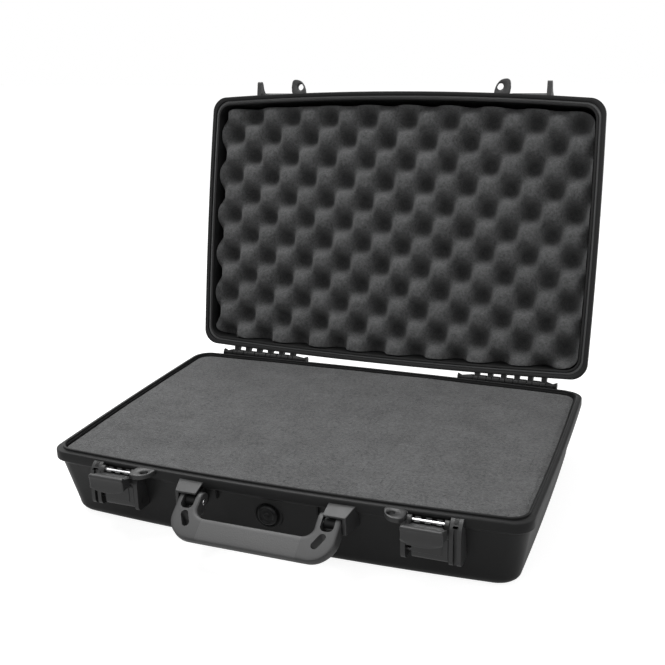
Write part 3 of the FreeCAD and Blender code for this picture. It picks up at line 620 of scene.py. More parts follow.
cubedFoam = {"inset": 8.9, "top": caseSizes["baseHeight"] - 0.7, "floor": 16.5, "edge": 1.6, "waves": 0.35}
lidFoam = {"inset": 12.2, "period": 52.5, "depth": 27.6, "low": caseSizes["baseHeight"] + 3.5,
           "thick": 39.4, "columns": 320, "rows": 210, "shiftX": -12.0, "shiftY": -4.3, "skew": 0.019,
           "steep": 0.8,
           "narrow": 1.6, "frontGap": 3.6}


def cubedHeight(x, y, share):
    f = cubedFoam
    wave = np.sin(x / 23.0 + 1.7 * np.sin(y / 41.0)) * np.cos(y / 31.0 + np.sin(x / 57.0))
    edge = (1 - share) * 150
    fall = f["edge"] * np.clip(1 - edge / 4.0, 0, 1) ** 2
    return f["top"] - 0.35 + f["waves"] * wave - fall


def eggHeight(x, y):
    # a waffle of points: the product of two cosines is sharpened by a hyperbolic tangent, so that
    # the flanks stand steep, and raised to a power, so that the pits are narrower than the points
    f = lidFoam
    turn = 2 * math.pi / f["period"]
    across = y - f["shiftY"] - f["skew"] * x
    w = np.cos(turn * (x - f["shiftX"])) * np.cos(turn * across)
    pit = ((np.tanh(f["steep"] * w) / math.tanh(f["steep"]) + 1) / 2) ** f["narrow"]
    return f["low"] + f["depth"] * pit


def fillOutline(inset, radius, columns, rows):
    # grid of points that fills the case's outline with lines nearly along X and Y: rows shorten at
    # the round corners, and the front and back rows follow the bowed sides
    s = caseSizes
    u, v = np.meshgrid(np.linspace(-1, 1, columns), np.linspace(-1, 1, rows))
    halfY = s["depth"] / 2 - inset
    beyond = np.clip(np.abs(v) * halfY - (halfY - radius), 0, radius)
    side = s["width"] / 2 - inset - s["sideBow"] * v ** 2
    x = u * (side - radius + np.sqrt(radius ** 2 - beyond ** 2))
    low, high = frontAt(x) + inset + lidFoam["frontGap"], backAt(x) - inset
    return x, low + (v + 1) / 2 * (high - low)


def gridLoop(grid):
    # the grid's outer points in order round it
    return np.concatenate([grid[0, :-1], grid[:-1, -1], grid[-1, :0:-1], grid[:0:-1, 0]])


def baseFoams():
    f = cubedFoam
    ring = lambda inset, z: ringAt(inset, z, 14.5, 2.0)
    low = ring(18.4, f["floor"])
    sides = [low, ring(16.8, f["floor"] + 2), ring(9.4, f["top"] - 13.3), ring(f["inset"], f["top"] - 3.3)]
    solid = foamSlab(low, sides, ring(f["inset"], f["top"]), cubedHeight, 60)
    piece = makePiece("cubedFoam", [solid], finishes["cubed"], "base", ["base_foam_cubed"])
    low = ring(23.6, 4.6)
    sides = [low, ring(19.4, 7.5), ring(19.0, 14.6)]
    solid = foamSlab(low, sides, ring(19.4, 15.9), lambda x, y, share: 16.1 + 0 * x, 12)
    piece = makePiece("padFoam", [solid], finishes["pad"], "base", ["base_foam_pad"])


def convolutedFoam():
    f = lidFoam
    x, y = fillOutline(f["inset"], 14.0, f["columns"], f["rows"])
    grid = np.stack([x, y, eggHeight(x, y)], axis=-1)
    edge = gridLoop(grid)
    back = edge.copy()
    back[:, :2] *= 0.965
    back[:, 2] = f["low"] + f["thick"]
    shoulder = edge.copy()
    shoulder[:, :2] *= 0.998
    shoulder[:, 2] = f["low"] + f["thick"] - 6.4
    m, n = f["rows"], f["columns"]
    i, j = np.meshgrid(np.arange(m - 1), np.arange(n - 1), indexing="ij")
    quads = np.stack([i * n + j, i * n + j + 1, (i + 1) * n + j + 1, (i + 1) * n + j], axis=-1).reshape(-1, 4)
    index = gridLoop(np.arange(m * n).reshape(m, n))
    count = len(index)
    k = np.arange(count)
    k2 = (k + 1) % count
    first, second = m * n, m * n + count
    sides = np.concatenate([np.stack([index[k], index[k2], first + k2, first + k], axis=-1),
                            np.stack([first + k, first + k2, second + k2, second + k], axis=-1)])
    verts = np.concatenate([grid.reshape(-1, 3), shoulder, back])
    faces = quads.tolist() + sides.tolist() + [(second + k).tolist()]
    piece = makePiece("convolutedFoam", [(verts, faces)], finishes["egg"], "lid",
                      ["lid_foam"],
                      place=openLid, sharp=80)
    # how deep each point lies in its pit, for the material's painted pit shade: 0 on the points, 1 at the
    # bottom
    depth = np.clip((verts[:, 2] - f["low"]) / f["depth"], 0, 1).astype(np.float32)
    piece.data.attributes.new("pitDepth", "FLOAT", "POINT").data.foreach_set("value", depth)


baseFoams()
convolutedFoam()
print("foams made")


# hinges

hinge = {"start": 100.0, "length": 119.0, "radius": 4.8, "count": 6, "first": 19.4, "pitch": 16.1,
         "finger": 6.0, "gap": 0.5, "pin": 1.6, "fingerRadius": 4.5, "fingerHeight": 9.0}


def barrels():
    h = hinge
    root = backAt(h["start"] + h["length"]) - 4
    shapes = []
    edges = [h["start"]]
    for i in range(h["count"]):
        x = h["start"] + h["first"] + h["pitch"] * i
        edges += [x - h["gap"], x + h["finger"] + h["gap"]]
    edges.append(h["start"] + h["length"])
    for i, (a, b) in enumerate(zip(edges[::2], edges[1::2])):
        first, last = i == 0, i == h["count"]
        r = h["radius"]
        ends = []
        for t in np.linspace(0, 1, 7):
            ends.append((r * (1 - math.sin(t * math.pi / 2)),
                         r * (0.58 + 0.42 * math.cos((1 - t) * math.pi / 2))))
        path = [(a + d, q) for d, q in ends] if first else [(a, r - 0.3), (a + 0.3, r)]
        path += [(b - d, q) for d, q in ends[::-1]] if last else [(b - 0.3, r), (b, r - 0.3)]
        shapes.append(turned(sorted(path), (0, hingeY, hingeZ), "x"))
        inner = a + (r if first else 0)
        outer = b - (r if last else 0)
        top = hingeZ - 0.3
        o = [(root, top), (hingeY - 1, top), (hingeY, hingeZ - r), (hingeY - 1.5, hingeZ - r - 0.8),
             (root, hingeZ - 12)]
        shapes.append(bar(roundCorners(o, most=0.6), inner, outer))
    makePiece("hingeBarrels", shapes, finishes["shell"], "base", mirror=True, sharp=40)
    web = [(root, hingeZ - 0.3), (hingeY - 5.3, hingeZ - 0.3), (hingeY - 5.3, hingeZ - 8.2),
           (root, hingeZ - 12)]
    makePiece("hingeWebs", [bar(web, h["start"] + 4.8, h["start"] + h["length"] - 4.8)], finishes["shell"],
              "base", mirror=True)


def fingers():
    h = hinge
    low = caseSizes["baseHeight"] + 1
    shapes = []
    r = h["fingerRadius"]
    back = backAt(h["start"])
    root = backAt(h["start"] + h["length"]) - 1.5
    arc = [(hingeY + r * math.cos(a),
            hingeZ + r * math.sin(a)) for a in np.radians(np.linspace(50, -200, 26))]
    high = low + h["fingerHeight"]
    o = [(root, low), (root, high), (back, high), (back + 2.6, low + 7.6)] + arc
    for i in range(h["count"]):
        x = h["start"] + h["first"] + h["pitch"] * i
        shapes.append(bar(o, x, x + h["finger"]))
    makePiece("hingeFingers", shapes, finishes["shell"], "lid", place=openLid, mirror=True,
              bevel=0.5)


def hingePins():
    h = hinge
    a, b, r = h["start"] + 3.0, h["start"] + h["length"], h["pin"]
    rod = turned([(a, r), (b - 0.4, r), (b, r - 0.4)], (0, hingeY, hingeZ), "x", 24)
    for side, sign in sides:
        makePiece("hingePin" + side, [onSide(rod, sign)], finishes["steel"], "base",
                  ["hinge_pin_" + side.lower()])


barrels()
fingers()
hingePins()
print("hinges made")


# latches

earShares = [(0.0, 0.0), (0.0, 0.94), (0.55, 1.0), (0.84, 0.88), (0.97, 0.68), (1.0, 0.09), (0.86, 0.0)]
lugs = {"length": 22.3, "reach": 17.0, "root": 3.2, "thick": 5.0, "gap": 0.9, "hole": 4.0,
        "holeIn": 9.0, "holeOut": 7.6, "lidTrim": 1.3, "edge": 0.7}
lugHole = (innerEarFace - lugs["length"] + lugs["holeIn"],
           frontAt(innerEarFace - lugs["length"] + lugs["holeIn"]) - lugs["holeOut"])


def earProfile(reach):
    top = caseSizes["baseHeight"] - 1.0
    o = [(latchRim + 12.0 - out * (12.0 + reach), top - 44.0 + up * 44.0) for out, up in earShares]
    return roundCorners(o, cut=0.45, most=3.5)


def ears():
    inner = bar(earProfile(11.0), innerEarFace - latch["innerEar"], innerEarFace)
    o = earProfile(10.2)
    side = 3.95
    outerA = bar(o, outerEarFace, outerEarFace + side)
    outerB = bar(o, outerEarFace + latch["outerEar"] - side, outerEarFace + latch["outerEar"])
    deep = np.array(o)
    deep[:, 0] = np.maximum(deep[:, 0], latchRim - 10.2 + 4.0)
    web = bar(deep, outerEarFace + side - 0.5, outerEarFace + latch["outerEar"] - side + 0.5)
    top = caseSizes["baseHeight"] - 1.0
    cap = np.array(o)
    cap[:, 1] = np.maximum(cap[:, 1], top - 5.0)
    bridge = bar(cap, outerEarFace + side - 0.5, outerEarFace + latch["outerEar"] - side + 0.5)
    makePiece("latchEars", [inner, outerA, outerB, web, bridge], finishes["bosses"], "base",
              mirror=True, bevel=0.8)


def lugSolid(trim, low, high):
    # a flat lug with a hole: rings from the hole's foot to its top, out over the top and down the outside
    end, start = innerEarFace - trim, innerEarFace - lugs["length"] + trim
    rim = frontAt(start)
    shares = [(0.0, 0.0), (0.10, 0.55), (0.42, 0.96), (1.0, 1.0), (1.0, 0.0)]
    o = [(start + along * (end - start), rim + lugs["root"] - out * (lugs["reach"] + lugs["root"]))
         for along, out in shares]
    o = roundCorners(o, cut=0.45, most=7, steps=12)
    c = np.array(lugHole)
    angle = np.arctan2(o[:, 1] - c[1], o[:, 0] - c[0])
    order = np.argsort(angle)
    a = np.linspace(-math.pi, math.pi, 96, endpoint=False)
    far = np.interp(a, angle[order], np.hypot(*(o - c).T)[order], period=2 * math.pi)
    e, hole = lugs["edge"], lugs["hole"]

    def roundAt(r, z):
        return np.column_stack([c[0] + np.cos(a) * r, c[1] + np.sin(a) * r, np.full(len(a), float(z))])

    return closedRing([roundAt(hole + e, low), roundAt(hole, low + e), roundAt(hole, high - e),
                       roundAt(hole + e, high), roundAt(far - e * 1.4, high),
                       roundAt(far - e * 0.3, high - e * 0.4), roundAt(far, high - e * 1.3),
                       roundAt(far, low + e * 1.3), roundAt(far - e * 0.3, low + e * 0.4),
                       roundAt(far - e * 1.4, low)])


def padlockLugs():
    top = caseSizes["baseHeight"] - lugs["gap"] / 2
    makePiece("baseLugs", [lugSolid(0, top - lugs["thick"], top)], finishes["bosses"], "base",
              mirror=True, sharp=50)
    low = caseSizes["baseHeight"] + 1
    makePiece("lidLugs", [lugSolid(lugs["lidTrim"], low, low + lugs["thick"])], finishes["bosses"],
              "lid", mirror=True, place=openLid, sharp=50)


def lidEars():
    low = caseSizes["baseHeight"] + 1
    shares = [(0.0, 0.0), (0.0, 1.0), (0.25, 0.92), (0.55, 0.42), (0.92, 0.26), (1.0, 0.12), (0.96, 0.0)]
    root = 7.2
    o = [(latchRim + root - out * (root + 16.0), low + up * 24.0) for out, up in shares]
    start = latch["place"] + 24.5 - 2.75
    top = caseSizes["baseHeight"] + 12.6
    lip = [(latchRim + 4.2, top + 1), (latchRim - 2.3, top), (latchRim - 2.3, top - 2.4),
           (latchRim + 1, top - 4.4)]
    makePiece("lidEars", [bar(roundCorners(o, cut=0.45, most=4), start, start + 5.5),
                          bar(roundCorners(lip, most=0.5), latchLeft - 0.5, latchRight + 0.5)],
              finishes["bosses"], "lid", place=openLid, mirror=True, bevel=0.7)


def latchFrame(side, shift):
    left, right, arm = latchLeft, latchRight, latch["arm"]
    front = frameY - latch["barrel"]
    top = frameZ + latch["plateHeight"]
    notch = left + latch["notch"]
    # barrel and plate in one section, without the notch at the low left
    profile = [(frameY + 5.6, frameZ - 3.2), (frameY + 3.2, frameZ - 5.6), (frameY - 3.2, frameZ - 5.9),
               (front + 0.6, frameZ - 3.6), (front, frameZ), (front, top), (front + latch["plate"], top),
               (front + latch["plate"], frameZ + 6.2), (frameY + 3.2, frameZ + 5.8),
               (frameY + 6.2, frameZ + 2.0)]
    whole = roundCorners(profile, cut=0.5, most=2.4)
    upper = whole.copy()
    upper[:, 1] = np.maximum(upper[:, 1], frameZ + latch["barrel"] + 0.3)
    shapes = [bar(whole, notch, right), bar(upper, left, notch + 0.4)]
    # a shallow step down the middle of the plate
    face = [(front - 0.45, frameZ + 1.5), (front - 0.45, top - 2), (front + 1, top - 1),
            (front + 1, frameZ + 0.5)]
    shapes.append(bar(face, notch + 1.2, right - 5.2))
    # arms with round ends about the upper pin, each end with a raised hub
    for a, low in ((left, frameZ + latch["barrel"] + 0.3), (right - arm, frameZ)):
        eye = [(pinY + 4.0 * math.cos(t),
                pinZ + 4.0 * math.sin(t)) for t in np.radians(np.linspace(-10, 190, 22))]
        o = [(front + latch["plate"] + 2, low)] + eye + [(front, low)]
        shapes.append(bar(o, a, a + arm))
        hub = [(a - 0.35, 2.0), (a - 0.2, 2.9), (a + 0.3, 3.1), (a + arm - 0.3, 3.1),
               (a + arm + 0.2, 2.9), (a + arm + 0.35, 2.0)]
        shapes.append(turned(hub, (0, pinY, pinZ), "x", 32))
    shapes = [(v + np.array([shift, 0, 0]), f) for v, f in shapes]
    makePiece("latchFrame" + side, shapes, finishes["latch"], "latch_frame_" + side.lower(),
              ["latch_frame_" + side.lower()], bevel=0.5)


leverBlock = {"start": 7.4, "depth": 17.6, "height": 18.8, "top": 5.2, "crown": 5.0, "clip": 3.2,
              "clipWidth": 5.0, "clipPitch": 10.2, "tongue": 3.6, "tongueGap": 0.8, "endRound": 1.3}
# side view of the block: outward shares of its depth, downward shares of its height
leverShares = [(0.0, 0.30), (0.40, 0.19), (0.71, 0.10), (0.755, 0.03), (0.79, 0.0), (0.93, 0.0),
               (0.985, 0.02),
               (1.0, 0.07), (0.995, 0.15), (0.955, 0.22), (0.925, 0.45), (0.935, 0.68), (0.975, 0.82),
               (0.99, 0.90),
               (0.97, 0.97), (0.90, 1.0), (0.55, 1.0), (0.06, 0.95), (0.02, 0.88), (0.02, 0.78), (0.10, 0.62),
               (0.16, 0.52)]


def latchLever(side, sign):
    b = leverBlock
    top, near = pinZ + b["top"], pinY - b["start"]
    o = roundCorners([(near - out * b["depth"], top - down * b["height"]) for out, down in leverShares],
                     steps=4)
    # section carried across the width, its foot lifted towards both ends and its rim drawn in there
    u = np.concatenate([[0, 0.006, 0.016, 0.03], np.linspace(0.05, 0.95, 25), [0.97, 0.984, 0.994, 1]])
    centre = o.mean(axis=0)
    rings = []
    for share in u:
        x = latchLeft + share * latch["width"]
        foot = top - b["height"] + b["crown"] * (2 * share - 1) ** 2
        edge = min(min(share, 1 - share) * latch["width"], b["endRound"])
        draw = b["endRound"] * (1 - math.sqrt(max(0.0, 1 - (1 - edge / b["endRound"]) ** 2)))
        ring = o.copy()
        low = foot + 2.2 - ring[:, 1]
        ring[:, 1] = np.where(low > 0, foot + 2.2 * np.exp(-low / 2.2), ring[:, 1])
        away = ring - centre
        ring = ring - away / np.linalg.norm(away, axis=1)[:, None] * draw
        rings.append(onAxis(ring, x, "x"))
    shapes = [loft(rings)]
    c, inside = b["clip"], near - b["tongue"]
    tongueSide = latch["arm"] + b["tongueGap"]
    tongueView = [(inside, pinZ - 0.5), (near, pinZ - 0.7), (pinY - c / 2, pinZ - c * 0.75),
                  (pinY - c / 3, pinZ - c * 1.2), (inside, pinZ - c - b["tongue"])]
    shapes.append(bar(roundCorners(tongueView, most=0.5), latchLeft + tongueSide, latchRight - tongueSide))
    for i in range(3):
        x = latch["place"] + (i - 1) * b["clipPitch"]
        turn = np.radians(np.linspace(65, -174, 30))
        outer = [(pinY + c * math.cos(t), pinZ + c * math.sin(t)) for t in turn]
        inner = [(pinY + 1.62 * math.cos(t), pinZ + 1.62 * math.sin(t)) for t in turn[::-1]]
        shapes.append(bar(outer + inner, x - b["clipWidth"] / 2, x + b["clipWidth"] / 2))
    shapes = [onSide(shape, sign) for shape in shapes]
    makePiece("latchLever" + side, shapes, finishes["latch"], "latch_lever_" + side.lower(),
              ["latch_lever_" + side.lower()], sharp=48)


def latchPins(side, sign):
    a, b = latchLeft + 0.3, latchRight - 0.3
    rod = turned([(a, 1.2), (a + 0.3, 1.5), (b - 0.3, 1.5), (b, 1.2)], (0, pinY, pinZ), "x", 32)
    makePiece("leverPin" + side, [onSide(rod, sign)], finishes["steel"],
              "latch_frame_" + side.lower(), ["lever_pin_" + side.lower()])
    a, b = innerEarFace - latch["innerEar"], outerEarFace + latch["outerEar"] / 2
    rod = turned([(a, 1.4), (a + 0.3, 1.75), (b - 0.3, 1.75), (b, 1.4)], (0, frameY, frameZ), "x", 32)
    makePiece("framePin" + side, [onSide(rod, sign)], finishes["blackSteel"], "base",
              ["frame_pin_" + side.lower()])


ears()
padlockLugs()
lidEars()
for side, sign in sides:
    latchFrame(side, (sign - 1) * latch["place"])
    latchLever(side, sign)
    latchPins(side, sign)
print("latches made")


# handle

handle = {"place": 72.0, "axisOut": 9.9, "axisDown": 20.0, "droop": 35.0, "eye": 9.0, "armOut": 84.0,
          "armIn": 60.0, "length": 42.6, "barInner": 19.6, "corner": 23.0, "innerCorner": 11.0,
          "grip": 51.0, "gripTop": 9.0, "gripLow": 6.0, "core": 4.0, "prong": 5.4, "fork": 12.6,
          "windowWidth": 7.4, "windowHalf": 8.6, "windowPlace": 22.8, "windowIn": 3.8, "windowTurn": 28.0,
          "pin": 3.0, "pinStart": 59.7, "pinEnd": 87.0, "bossWidth": 12.0, "bossRadius": 5.6}
axisY = frontAt(handle["place"]) - handle["axisOut"]
axisZ = caseSizes["baseHeight"] - handle["axisDown"]

# sections from the inner edge outwards and from the underside up, as shares: the bar's has a groove
# below its top's front edge
barControls = np.array([(0.0, 0.80), (0.03, 0.93), (0.11, 1.0), (0.30, 1.0), (0.60, 1.0), (0.93, 0.985),
                        (0.99, 0.955), (0.99, 0.89), (0.92, 0.86), (0.92, 0.80), (1.0, 0.77), (1.0, 0.30),
                        (0.87, 0.04), (0.60, 0.0), (0.18, 0.0), (0.0, 0.20)])
armControls = np.array([(0.0, 0.88), (0.02, 0.96), (0.08, 1.0), (0.30, 1.0), (0.60, 1.0), (0.91, 1.0),
                        (0.98, 0.965), (1.0, 0.90), (1.0, 0.84), (1.0, 0.78), (1.0, 0.68), (1.0, 0.14),
                        (0.92, 0.0), (0.60, 0.0), (0.08, 0.0), (0.0, 0.12)])


def drooped(p):
    return turnX(p, handle["droop"], axisY, axisZ)


def alongPath(points, count):
    # points spaced evenly along a line of points
    p = np.asarray(points, float)
    run = np.concatenate([[0], np.cumsum(np.hypot(*np.diff(p, axis=0).T))])
    t = np.linspace(0, run[-1], count)
    return np.column_stack([np.interp(t, run, p[:, 0]), np.interp(t, run, p[:, 1])])


def handleEdges():
    # inner and outer plan edges of the handle's right half, from the eye round the bend to the grip's end
    h = handle
    grid = np.radians(np.linspace(0, 90, 40))
    front = -h["length"]
    outer = np.column_stack([h["armOut"] - h["corner"] + h["corner"] * np.cos(grid),
                             front + h["corner"] - h["corner"] * np.sin(grid)])
    outer = np.vstack([outer, [(h["grip"], front)]])
    stop = math.degrees(math.acos((h["grip"] - h["armIn"] + h["innerCorner"]) / h["innerCorner"]))
    grid = np.radians(np.linspace(0, stop, 40))
    inner = np.column_stack([h["armIn"] - h["innerCorner"] + h["innerCorner"] * np.cos(grid),
                             -h["barInner"] + h["innerCorner"] - h["innerCorner"] * np.sin(grid)])
    count = 22
    outer, inner = alongPath(outer, count), alongPath(inner, count)
    back = h["eye"] * np.sin(np.linspace(math.pi / 2, 0, 9))
    back = np.concatenate([back, np.linspace(-1.5, -9, 5)])
    armOut = np.column_stack([np.full(len(back), h["armOut"]), back])
    armIn = np.column_stack([np.full(len(back), h["armIn"]), back])
    return np.vstack([armIn, inner]), np.vstack([armOut, outer])


def handleRing(inner, outer, shrink=0.0):
    # section between an inner and an outer plan point; arms are as high as the eye, the bar as the grip
    h = handle
    y = (inner[1] + outer[1]) / 2
    w = np.clip((-y - 8.0) / 18.0, 0, 1)
    w = w * w * (3 - 2 * w)
    top = h["eye"] + (h["gripTop"] - h["eye"]) * w
    low = -h["eye"] - (h["gripLow"] - h["eye"]) * w
    if y > 0:
        k = math.sqrt(max(1e-4, 1 - (y / h["eye"]) ** 2))
        top, low = top * k, low * k
    c = roundCorners(armControls * (1 - w) + barControls * w, cut=0.5, steps=5)
    if shrink:
        across = h["length"] - h["barInner"]
        c = 0.5 + (c - 0.5) * np.array([1 - 2 * shrink / across,
                                        1 - 2 * shrink / (h["gripTop"] + h["gripLow"])])
    xy = inner[None] + (outer - inner)[None] * c[:, :1] * 0.985
    z = low + (top - low) * c[:, 1]
    return np.column_stack([xy[:, 0], axisY + xy[:, 1], axisZ + z])


def handleFrame():
    h = handle
    inner, outer = handleEdges()
    rings = [handleRing(a, b) for a, b in zip(inner, outer)]
    end = (inner[-1], outer[-1])
    rings.append(handleRing(end[0] - np.array([0.05, 0]), end[1] - np.array([0.05, 0]), h["core"]))
    rings = np.asarray(rings)
    left = rings[::-1] * np.array([-1, 1, 1])
    solid = loft(np.concatenate([rings, left]))
    a, b = h["armIn"] + h["prong"], h["armOut"] - h["prong"]
    deep = axisY - h["fork"]
    fork = [(a, deep + 3), (a + 3, deep), (b - 3, deep), (b, deep + 3), (b, axisY + 30), (a, axisY + 30)]
    half, r = h["windowHalf"], h["windowWidth"] / 2
    t = np.radians(np.linspace(0, 180, 12))
    slot = np.concatenate([np.column_stack([r * np.cos(t), half - r + r * np.sin(t)]),
                           np.column_stack([-r * np.cos(t), r - half - r * np.sin(t)])])
    a = math.radians(-h["windowTurn"])
    slot = slot @ np.array([[math.cos(a), math.sin(a)], [-math.sin(a), math.cos(a)]])
    slot = slot + np.array([h["place"] - h["windowIn"], axisY - h["windowPlace"]])
    cutters = []
    for sign in (1, -1):
        for o in (roundCorners(fork, most=2), slot):
            cutters.append(onSide(bar(o, axisZ - 40, axisZ + 40, "z"), sign))
    makePiece("handleFrame", [solid], finishes["handle"], "handle", ["handle_frame"],
              place=drooped, cutters=cutters, sharp=40)


def handleGrip():
    # the bar's section from the end of the grip to the middle, and the same again on the left
    h = handle
    rings = []
    for x in np.linspace(h["grip"] - 0.05, 0, 14):
        rings.append(handleRing(np.array([x, -h["barInner"]]), np.array([x, -h["length"]])))
    rings = np.asarray(rings)
    left = rings[-2::-1] * np.array([-1, 1, 1])
    makePiece("handleGrip", [loft(np.concatenate([rings, left]))], finishes["grip"], "handle",
              ["handle_grip"], place=drooped)


def handlePins():
    a, b, r = handle["pinStart"], handle["pinEnd"], handle["pin"]
    rod = turned([(a, r - 0.5), (a + 0.5, r), (b - 0.5, r), (b, r - 0.5)], (0, axisY, axisZ), "x", 32)
    for side, sign in sides:
        makePiece("handlePin" + side, [onSide(rod, sign)], finishes["steel"], "base",
                  ["handle_pin_" + side.lower()])


hood = {"inner": 65.5, "back": 93.0, "front": 88.0, "reach": 15.8, "top": caseSizes["baseHeight"] - 3.0,
        "fall": 5.8, "thick": 1.9, "root": 5.0, "cheek": 84.5, "cheekLow": caseSizes["baseHeight"] - 26.5}


def handleBosses():
    h, b = hood, handle
    rim = frontAt(b["place"])
    back, front = rim + h["root"], rim - h["reach"]
    # hood: a plan outline carried upwards, its top sloping down to the front
    o = roundCorners([(h["inner"], back), (h["back"], back), (h["front"], front), (h["inner"], front)],
                     most=1.6, steps=6)
    slope = lambda y: h["top"] - h["fall"] * (back - y) / (back - front)
    topRing = np.column_stack([o, slope(o[:, 1])])
    lowRing = np.column_stack([o, slope(o[:, 1]) - h["thick"]])
    shapes = [loft([lowRing, topRing])]
    root = rim + 8.0
    c = [(h["cheek"], root), (h["back"] + 0.8, root), (h["front"], front), (h["cheek"], front)]
    c = roundCorners(c, most=1.0, steps=5)
    shapes.append(loft([np.column_stack([c, np.full(len(c), h["cheekLow"])]),
                        np.column_stack([c, slope(c[:, 1]) - 0.4])]))
    w = b["bossWidth"] / 2
    r = b["bossRadius"]
    t = np.radians(np.linspace(90, 270, 24))
    post = [(root, axisZ + r + 5.8)] + [(axisY + r * math.cos(a), axisZ + r * math.sin(a)) for a in t]
    post += [(root + 5.15, axisZ - 2 * r)]
    makePiece("handleBosses", shapes, finishes["bosses"], "base", mirror=True, bevel=0.6)
    makePiece("pivotPosts", [bar(post, b["place"] - w, b["place"] + w)], finishes["shell"],
              "base",
              mirror=True, bevel=0.6)


def wallRibs():
    shapes = []
    low, high = caseSizes["baseHeight"] - 21, caseSizes["baseHeight"] - 5
    face = frontWall(52, low)
    shapes.append(box((52.0, face - 3.2, low), (54.0, face + 2, high)))
    makePiece("wallRibs", shapes, finishes["shell"], "base", mirror=True, bevel=0.3)


handleFrame()
handleGrip()
handlePins()
handleBosses()
wallRibs()
print("handle made")


# vent

def ventPieces():
    v = vent
    y0 = v["face"]
    floor = v["floor"]
    # raised ring round the recess, with the recess's own floor
    wide, ring, deep = v["boss"], v["ring"], v["ringDeep"]
    path = [(2.5, wide + 0.6), (0.5, wide), (0.1, wide - 0.4), (0.0, wide - 0.9), (0.0, ring + 0.5),
            (0.2, ring + 0.05), (0.6, ring), (deep - 0.3, ring - 0.05), (deep, ring - 0.4),
            (deep, 8.6), (4.6, 8.6), (4.6, wide + 0.6)]
    makePiece("ventBoss", [turned(path, (0, y0, v["z"]), "y", 72, hole=True)], finishes["shell"],
              "base", sharp=50)
    t, fr = v["flangeThick"], v["flange"]
    body = [(-t, 4.6), (-t, fr - 0.5), (0.3 - t, fr), (-0.3, fr), (0, fr - 0.3), (0, 7.0), (4.0, 7.0),
            (4.3, 6.7),
            (4.3, 2.0), (0.6 - t, 2.0), (0.6 - t, 4.6)]
    makePiece("ventBody", [turned(body, (0, floor, v["z"]), "y", 64, hole=True)], finishes["vent"],
              "base", ["vent_body"], sharp=50)
    washer = [(0.05, 7.05), (0.05, 8.4), (0.75, 8.5), (0.75, 7.05)]
    makePiece("ventSeal", [turned(washer, (0, floor, v["z"]), "y", 48, hole=True)], finishes["seal"],
              "base", ["vent_seal"])
    skin = [(0.02 - t, 4.3), (0.05 - t, 4.55), (0.55 - t, 4.55), (0.59 - t, 4.3)]
    makePiece("ventMembrane", [turned(skin, (0, floor, v["z"]), "y", 40)], finishes["membrane"],
              "base", ["vent_membrane"])
    # cap: stepped rim, dished face and a raised stud in the middle
    c, r = v["capThick"], v["cap"]
    cap = [(0.0, r - 0.8), (-0.3, r - 0.3), (-0.9, r), (-2.6, r), (-3.0, r - 0.25), (0.7 - c, r - 0.9),
           (0.25 - c, r - 1.6), (-c, r - 2.4), (0.05 - c, r - 3.1), (0.5 - c, r - 3.7),
           (0.8 - c, r - 4.2), (0.8 - c, 3.8), (0.5 - c, 3.3),
           (0.1 - c, 3.0), (-c, 2.6), (-0.6 - c, 2.5), (-0.85 - c, 2.2), (-0.88 - c, 0.9)]
    makePiece("ventCap", [turned(cap, (0, floor - t, v["z"]), "y", 64)], finishes["vent"],
              "base",
              ["vent_cap"], sharp=50)


ventPieces()
print("vent made")


# floor, light and camera

studio = {"top": 21.0, "back": 10.0, "front": 7.0, "side": 4.0, "sky": 0.20, "ground": 0.88,
          "floor": (0.45, 0.45, 0.45)}


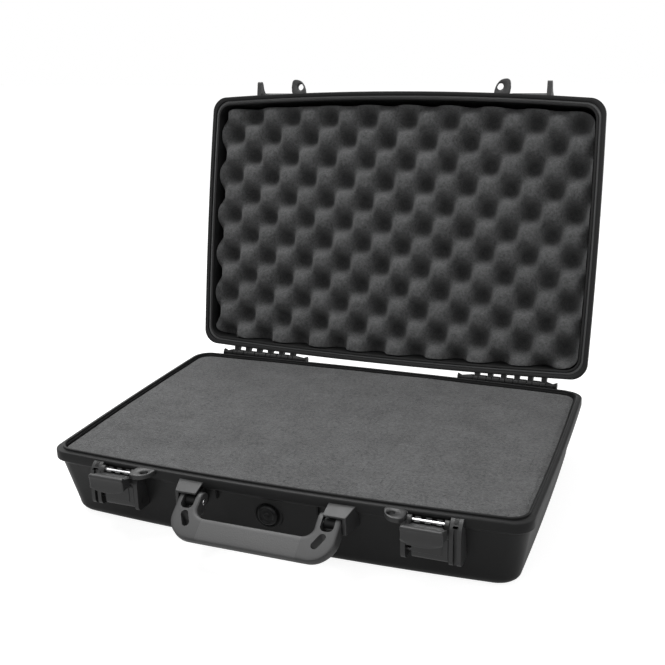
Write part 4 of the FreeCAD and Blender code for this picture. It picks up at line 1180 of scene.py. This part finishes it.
def whiteGround():
    mat, nodes, links, shader, coords = newMaterial("floorPaint")
    tone = addNoise(nodes, links, coords, 3, 2)
    links.new(addMix(nodes, links, tone, studio["floor"], tuple(c * 1.05 for c in studio["floor"])),
              shader.inputs["Base Color"])
    shader.inputs["Roughness"].default_value = 0.8
    path = nodes.new("ShaderNodeLightPath")
    glow = nodes.new("ShaderNodeEmission")
    shine = addMath(nodes, links, "MULTIPLY", path.outputs["Is Glossy Ray"], 0.4)
    seen = addMath(nodes, links, "MAXIMUM", path.outputs["Is Camera Ray"],
                   addMath(nodes, links, "MAXIMUM", shine, path.outputs["Is Transmission Ray"]))
    mixer = nodes.new("ShaderNodeAddShader")
    strength = addMath(nodes, links, "MULTIPLY", seen, studio["ground"])
    links.new(strength, glow.inputs["Strength"])
    links.new(shader.outputs[0], mixer.inputs[0])
    links.new(glow.outputs[0], mixer.inputs[1])
    links.new(mixer.outputs[0], nodes["Material Output"].inputs["Surface"])
    mesh = bpy.data.meshes.new("studioFloor")
    size = 6.0
    low = -0.0002
    mesh.from_pydata([(-size, -size, low), (size, -size, low), (size, size, low), (-size, size, low)],
                     [], [(0, 1, 2, 3)])
    obj = bpy.data.objects.new("studioFloor", mesh)
    bpy.context.scene.collection.objects.link(obj)
    mesh.materials.append(mat)


def softLight(name, place, target, size, watts):
    data = bpy.data.lights.new(name, "AREA")
    data.shape, data.size, data.energy = "DISK", size, watts
    obj = bpy.data.objects.new(name, data)
    bpy.context.scene.collection.objects.link(obj)
    obj.location = place
    obj.rotation_euler = (Vector(target) - Vector(place)).to_track_quat("-Z", "Y").to_euler()


def skyLight():
    world = bpy.data.worlds.new("studioSky")
    bpy.context.scene.world = world
    world.use_nodes = True
    nodes, links = world.node_tree.nodes, world.node_tree.links
    back = nodes["Background"]
    back.inputs["Color"].default_value = (1, 1, 1, 1)
    path = nodes.new("ShaderNodeLightPath")
    thrown = addMath(nodes, links, "MAXIMUM", path.outputs["Is Glossy Ray"],
                     path.outputs["Is Transmission Ray"])
    seen = addMath(nodes, links, "MAXIMUM", path.outputs["Is Camera Ray"], thrown)
    links.new(addRange(nodes, links, seen, 0, 1, studio["sky"], 1.0), back.inputs["Strength"])


def photoCamera():
    data = bpy.data.cameras.new("photoCamera")
    data.sensor_width, data.lens = 36.0, 52.67
    data.shift_x, data.shift_y = 0.0023, -0.0279
    data.clip_end = 50
    obj = bpy.data.objects.new("photoCamera", data)
    bpy.context.scene.collection.objects.link(obj)
    right, up, back = (0.9299, 0.3667, -0.0303), (-0.0806, 0.2835, 0.9556), (0.3590, -0.8861, 0.2931)
    m = Matrix((right, up, back)).transposed().to_4x4()
    m.translation = (0.3757, -0.9130, 0.5007)
    obj.matrix_world = m
    bpy.context.scene.camera = obj


whiteGround()
skyLight()
softLight("topLamp", (-0.55, -0.05, 1.9), (0, 0, 0.05), 1.2, studio["top"])
softLight("backLamp", (-0.6, 0.95, 1.45), (0, -0.05, 0.05), 0.9, studio["back"])
softLight("frontLamp", (0.1, -1.7, 1.3), (0, 0, 0.15), 1.4, studio["front"])
softLight("sideLamp", (1.7, -0.3, 0.8), (0.1, 0, 0.1), 0.9, studio["side"])
photoCamera()
bpy.context.scene.view_settings.view_transform = "Standard"
print("studio made")

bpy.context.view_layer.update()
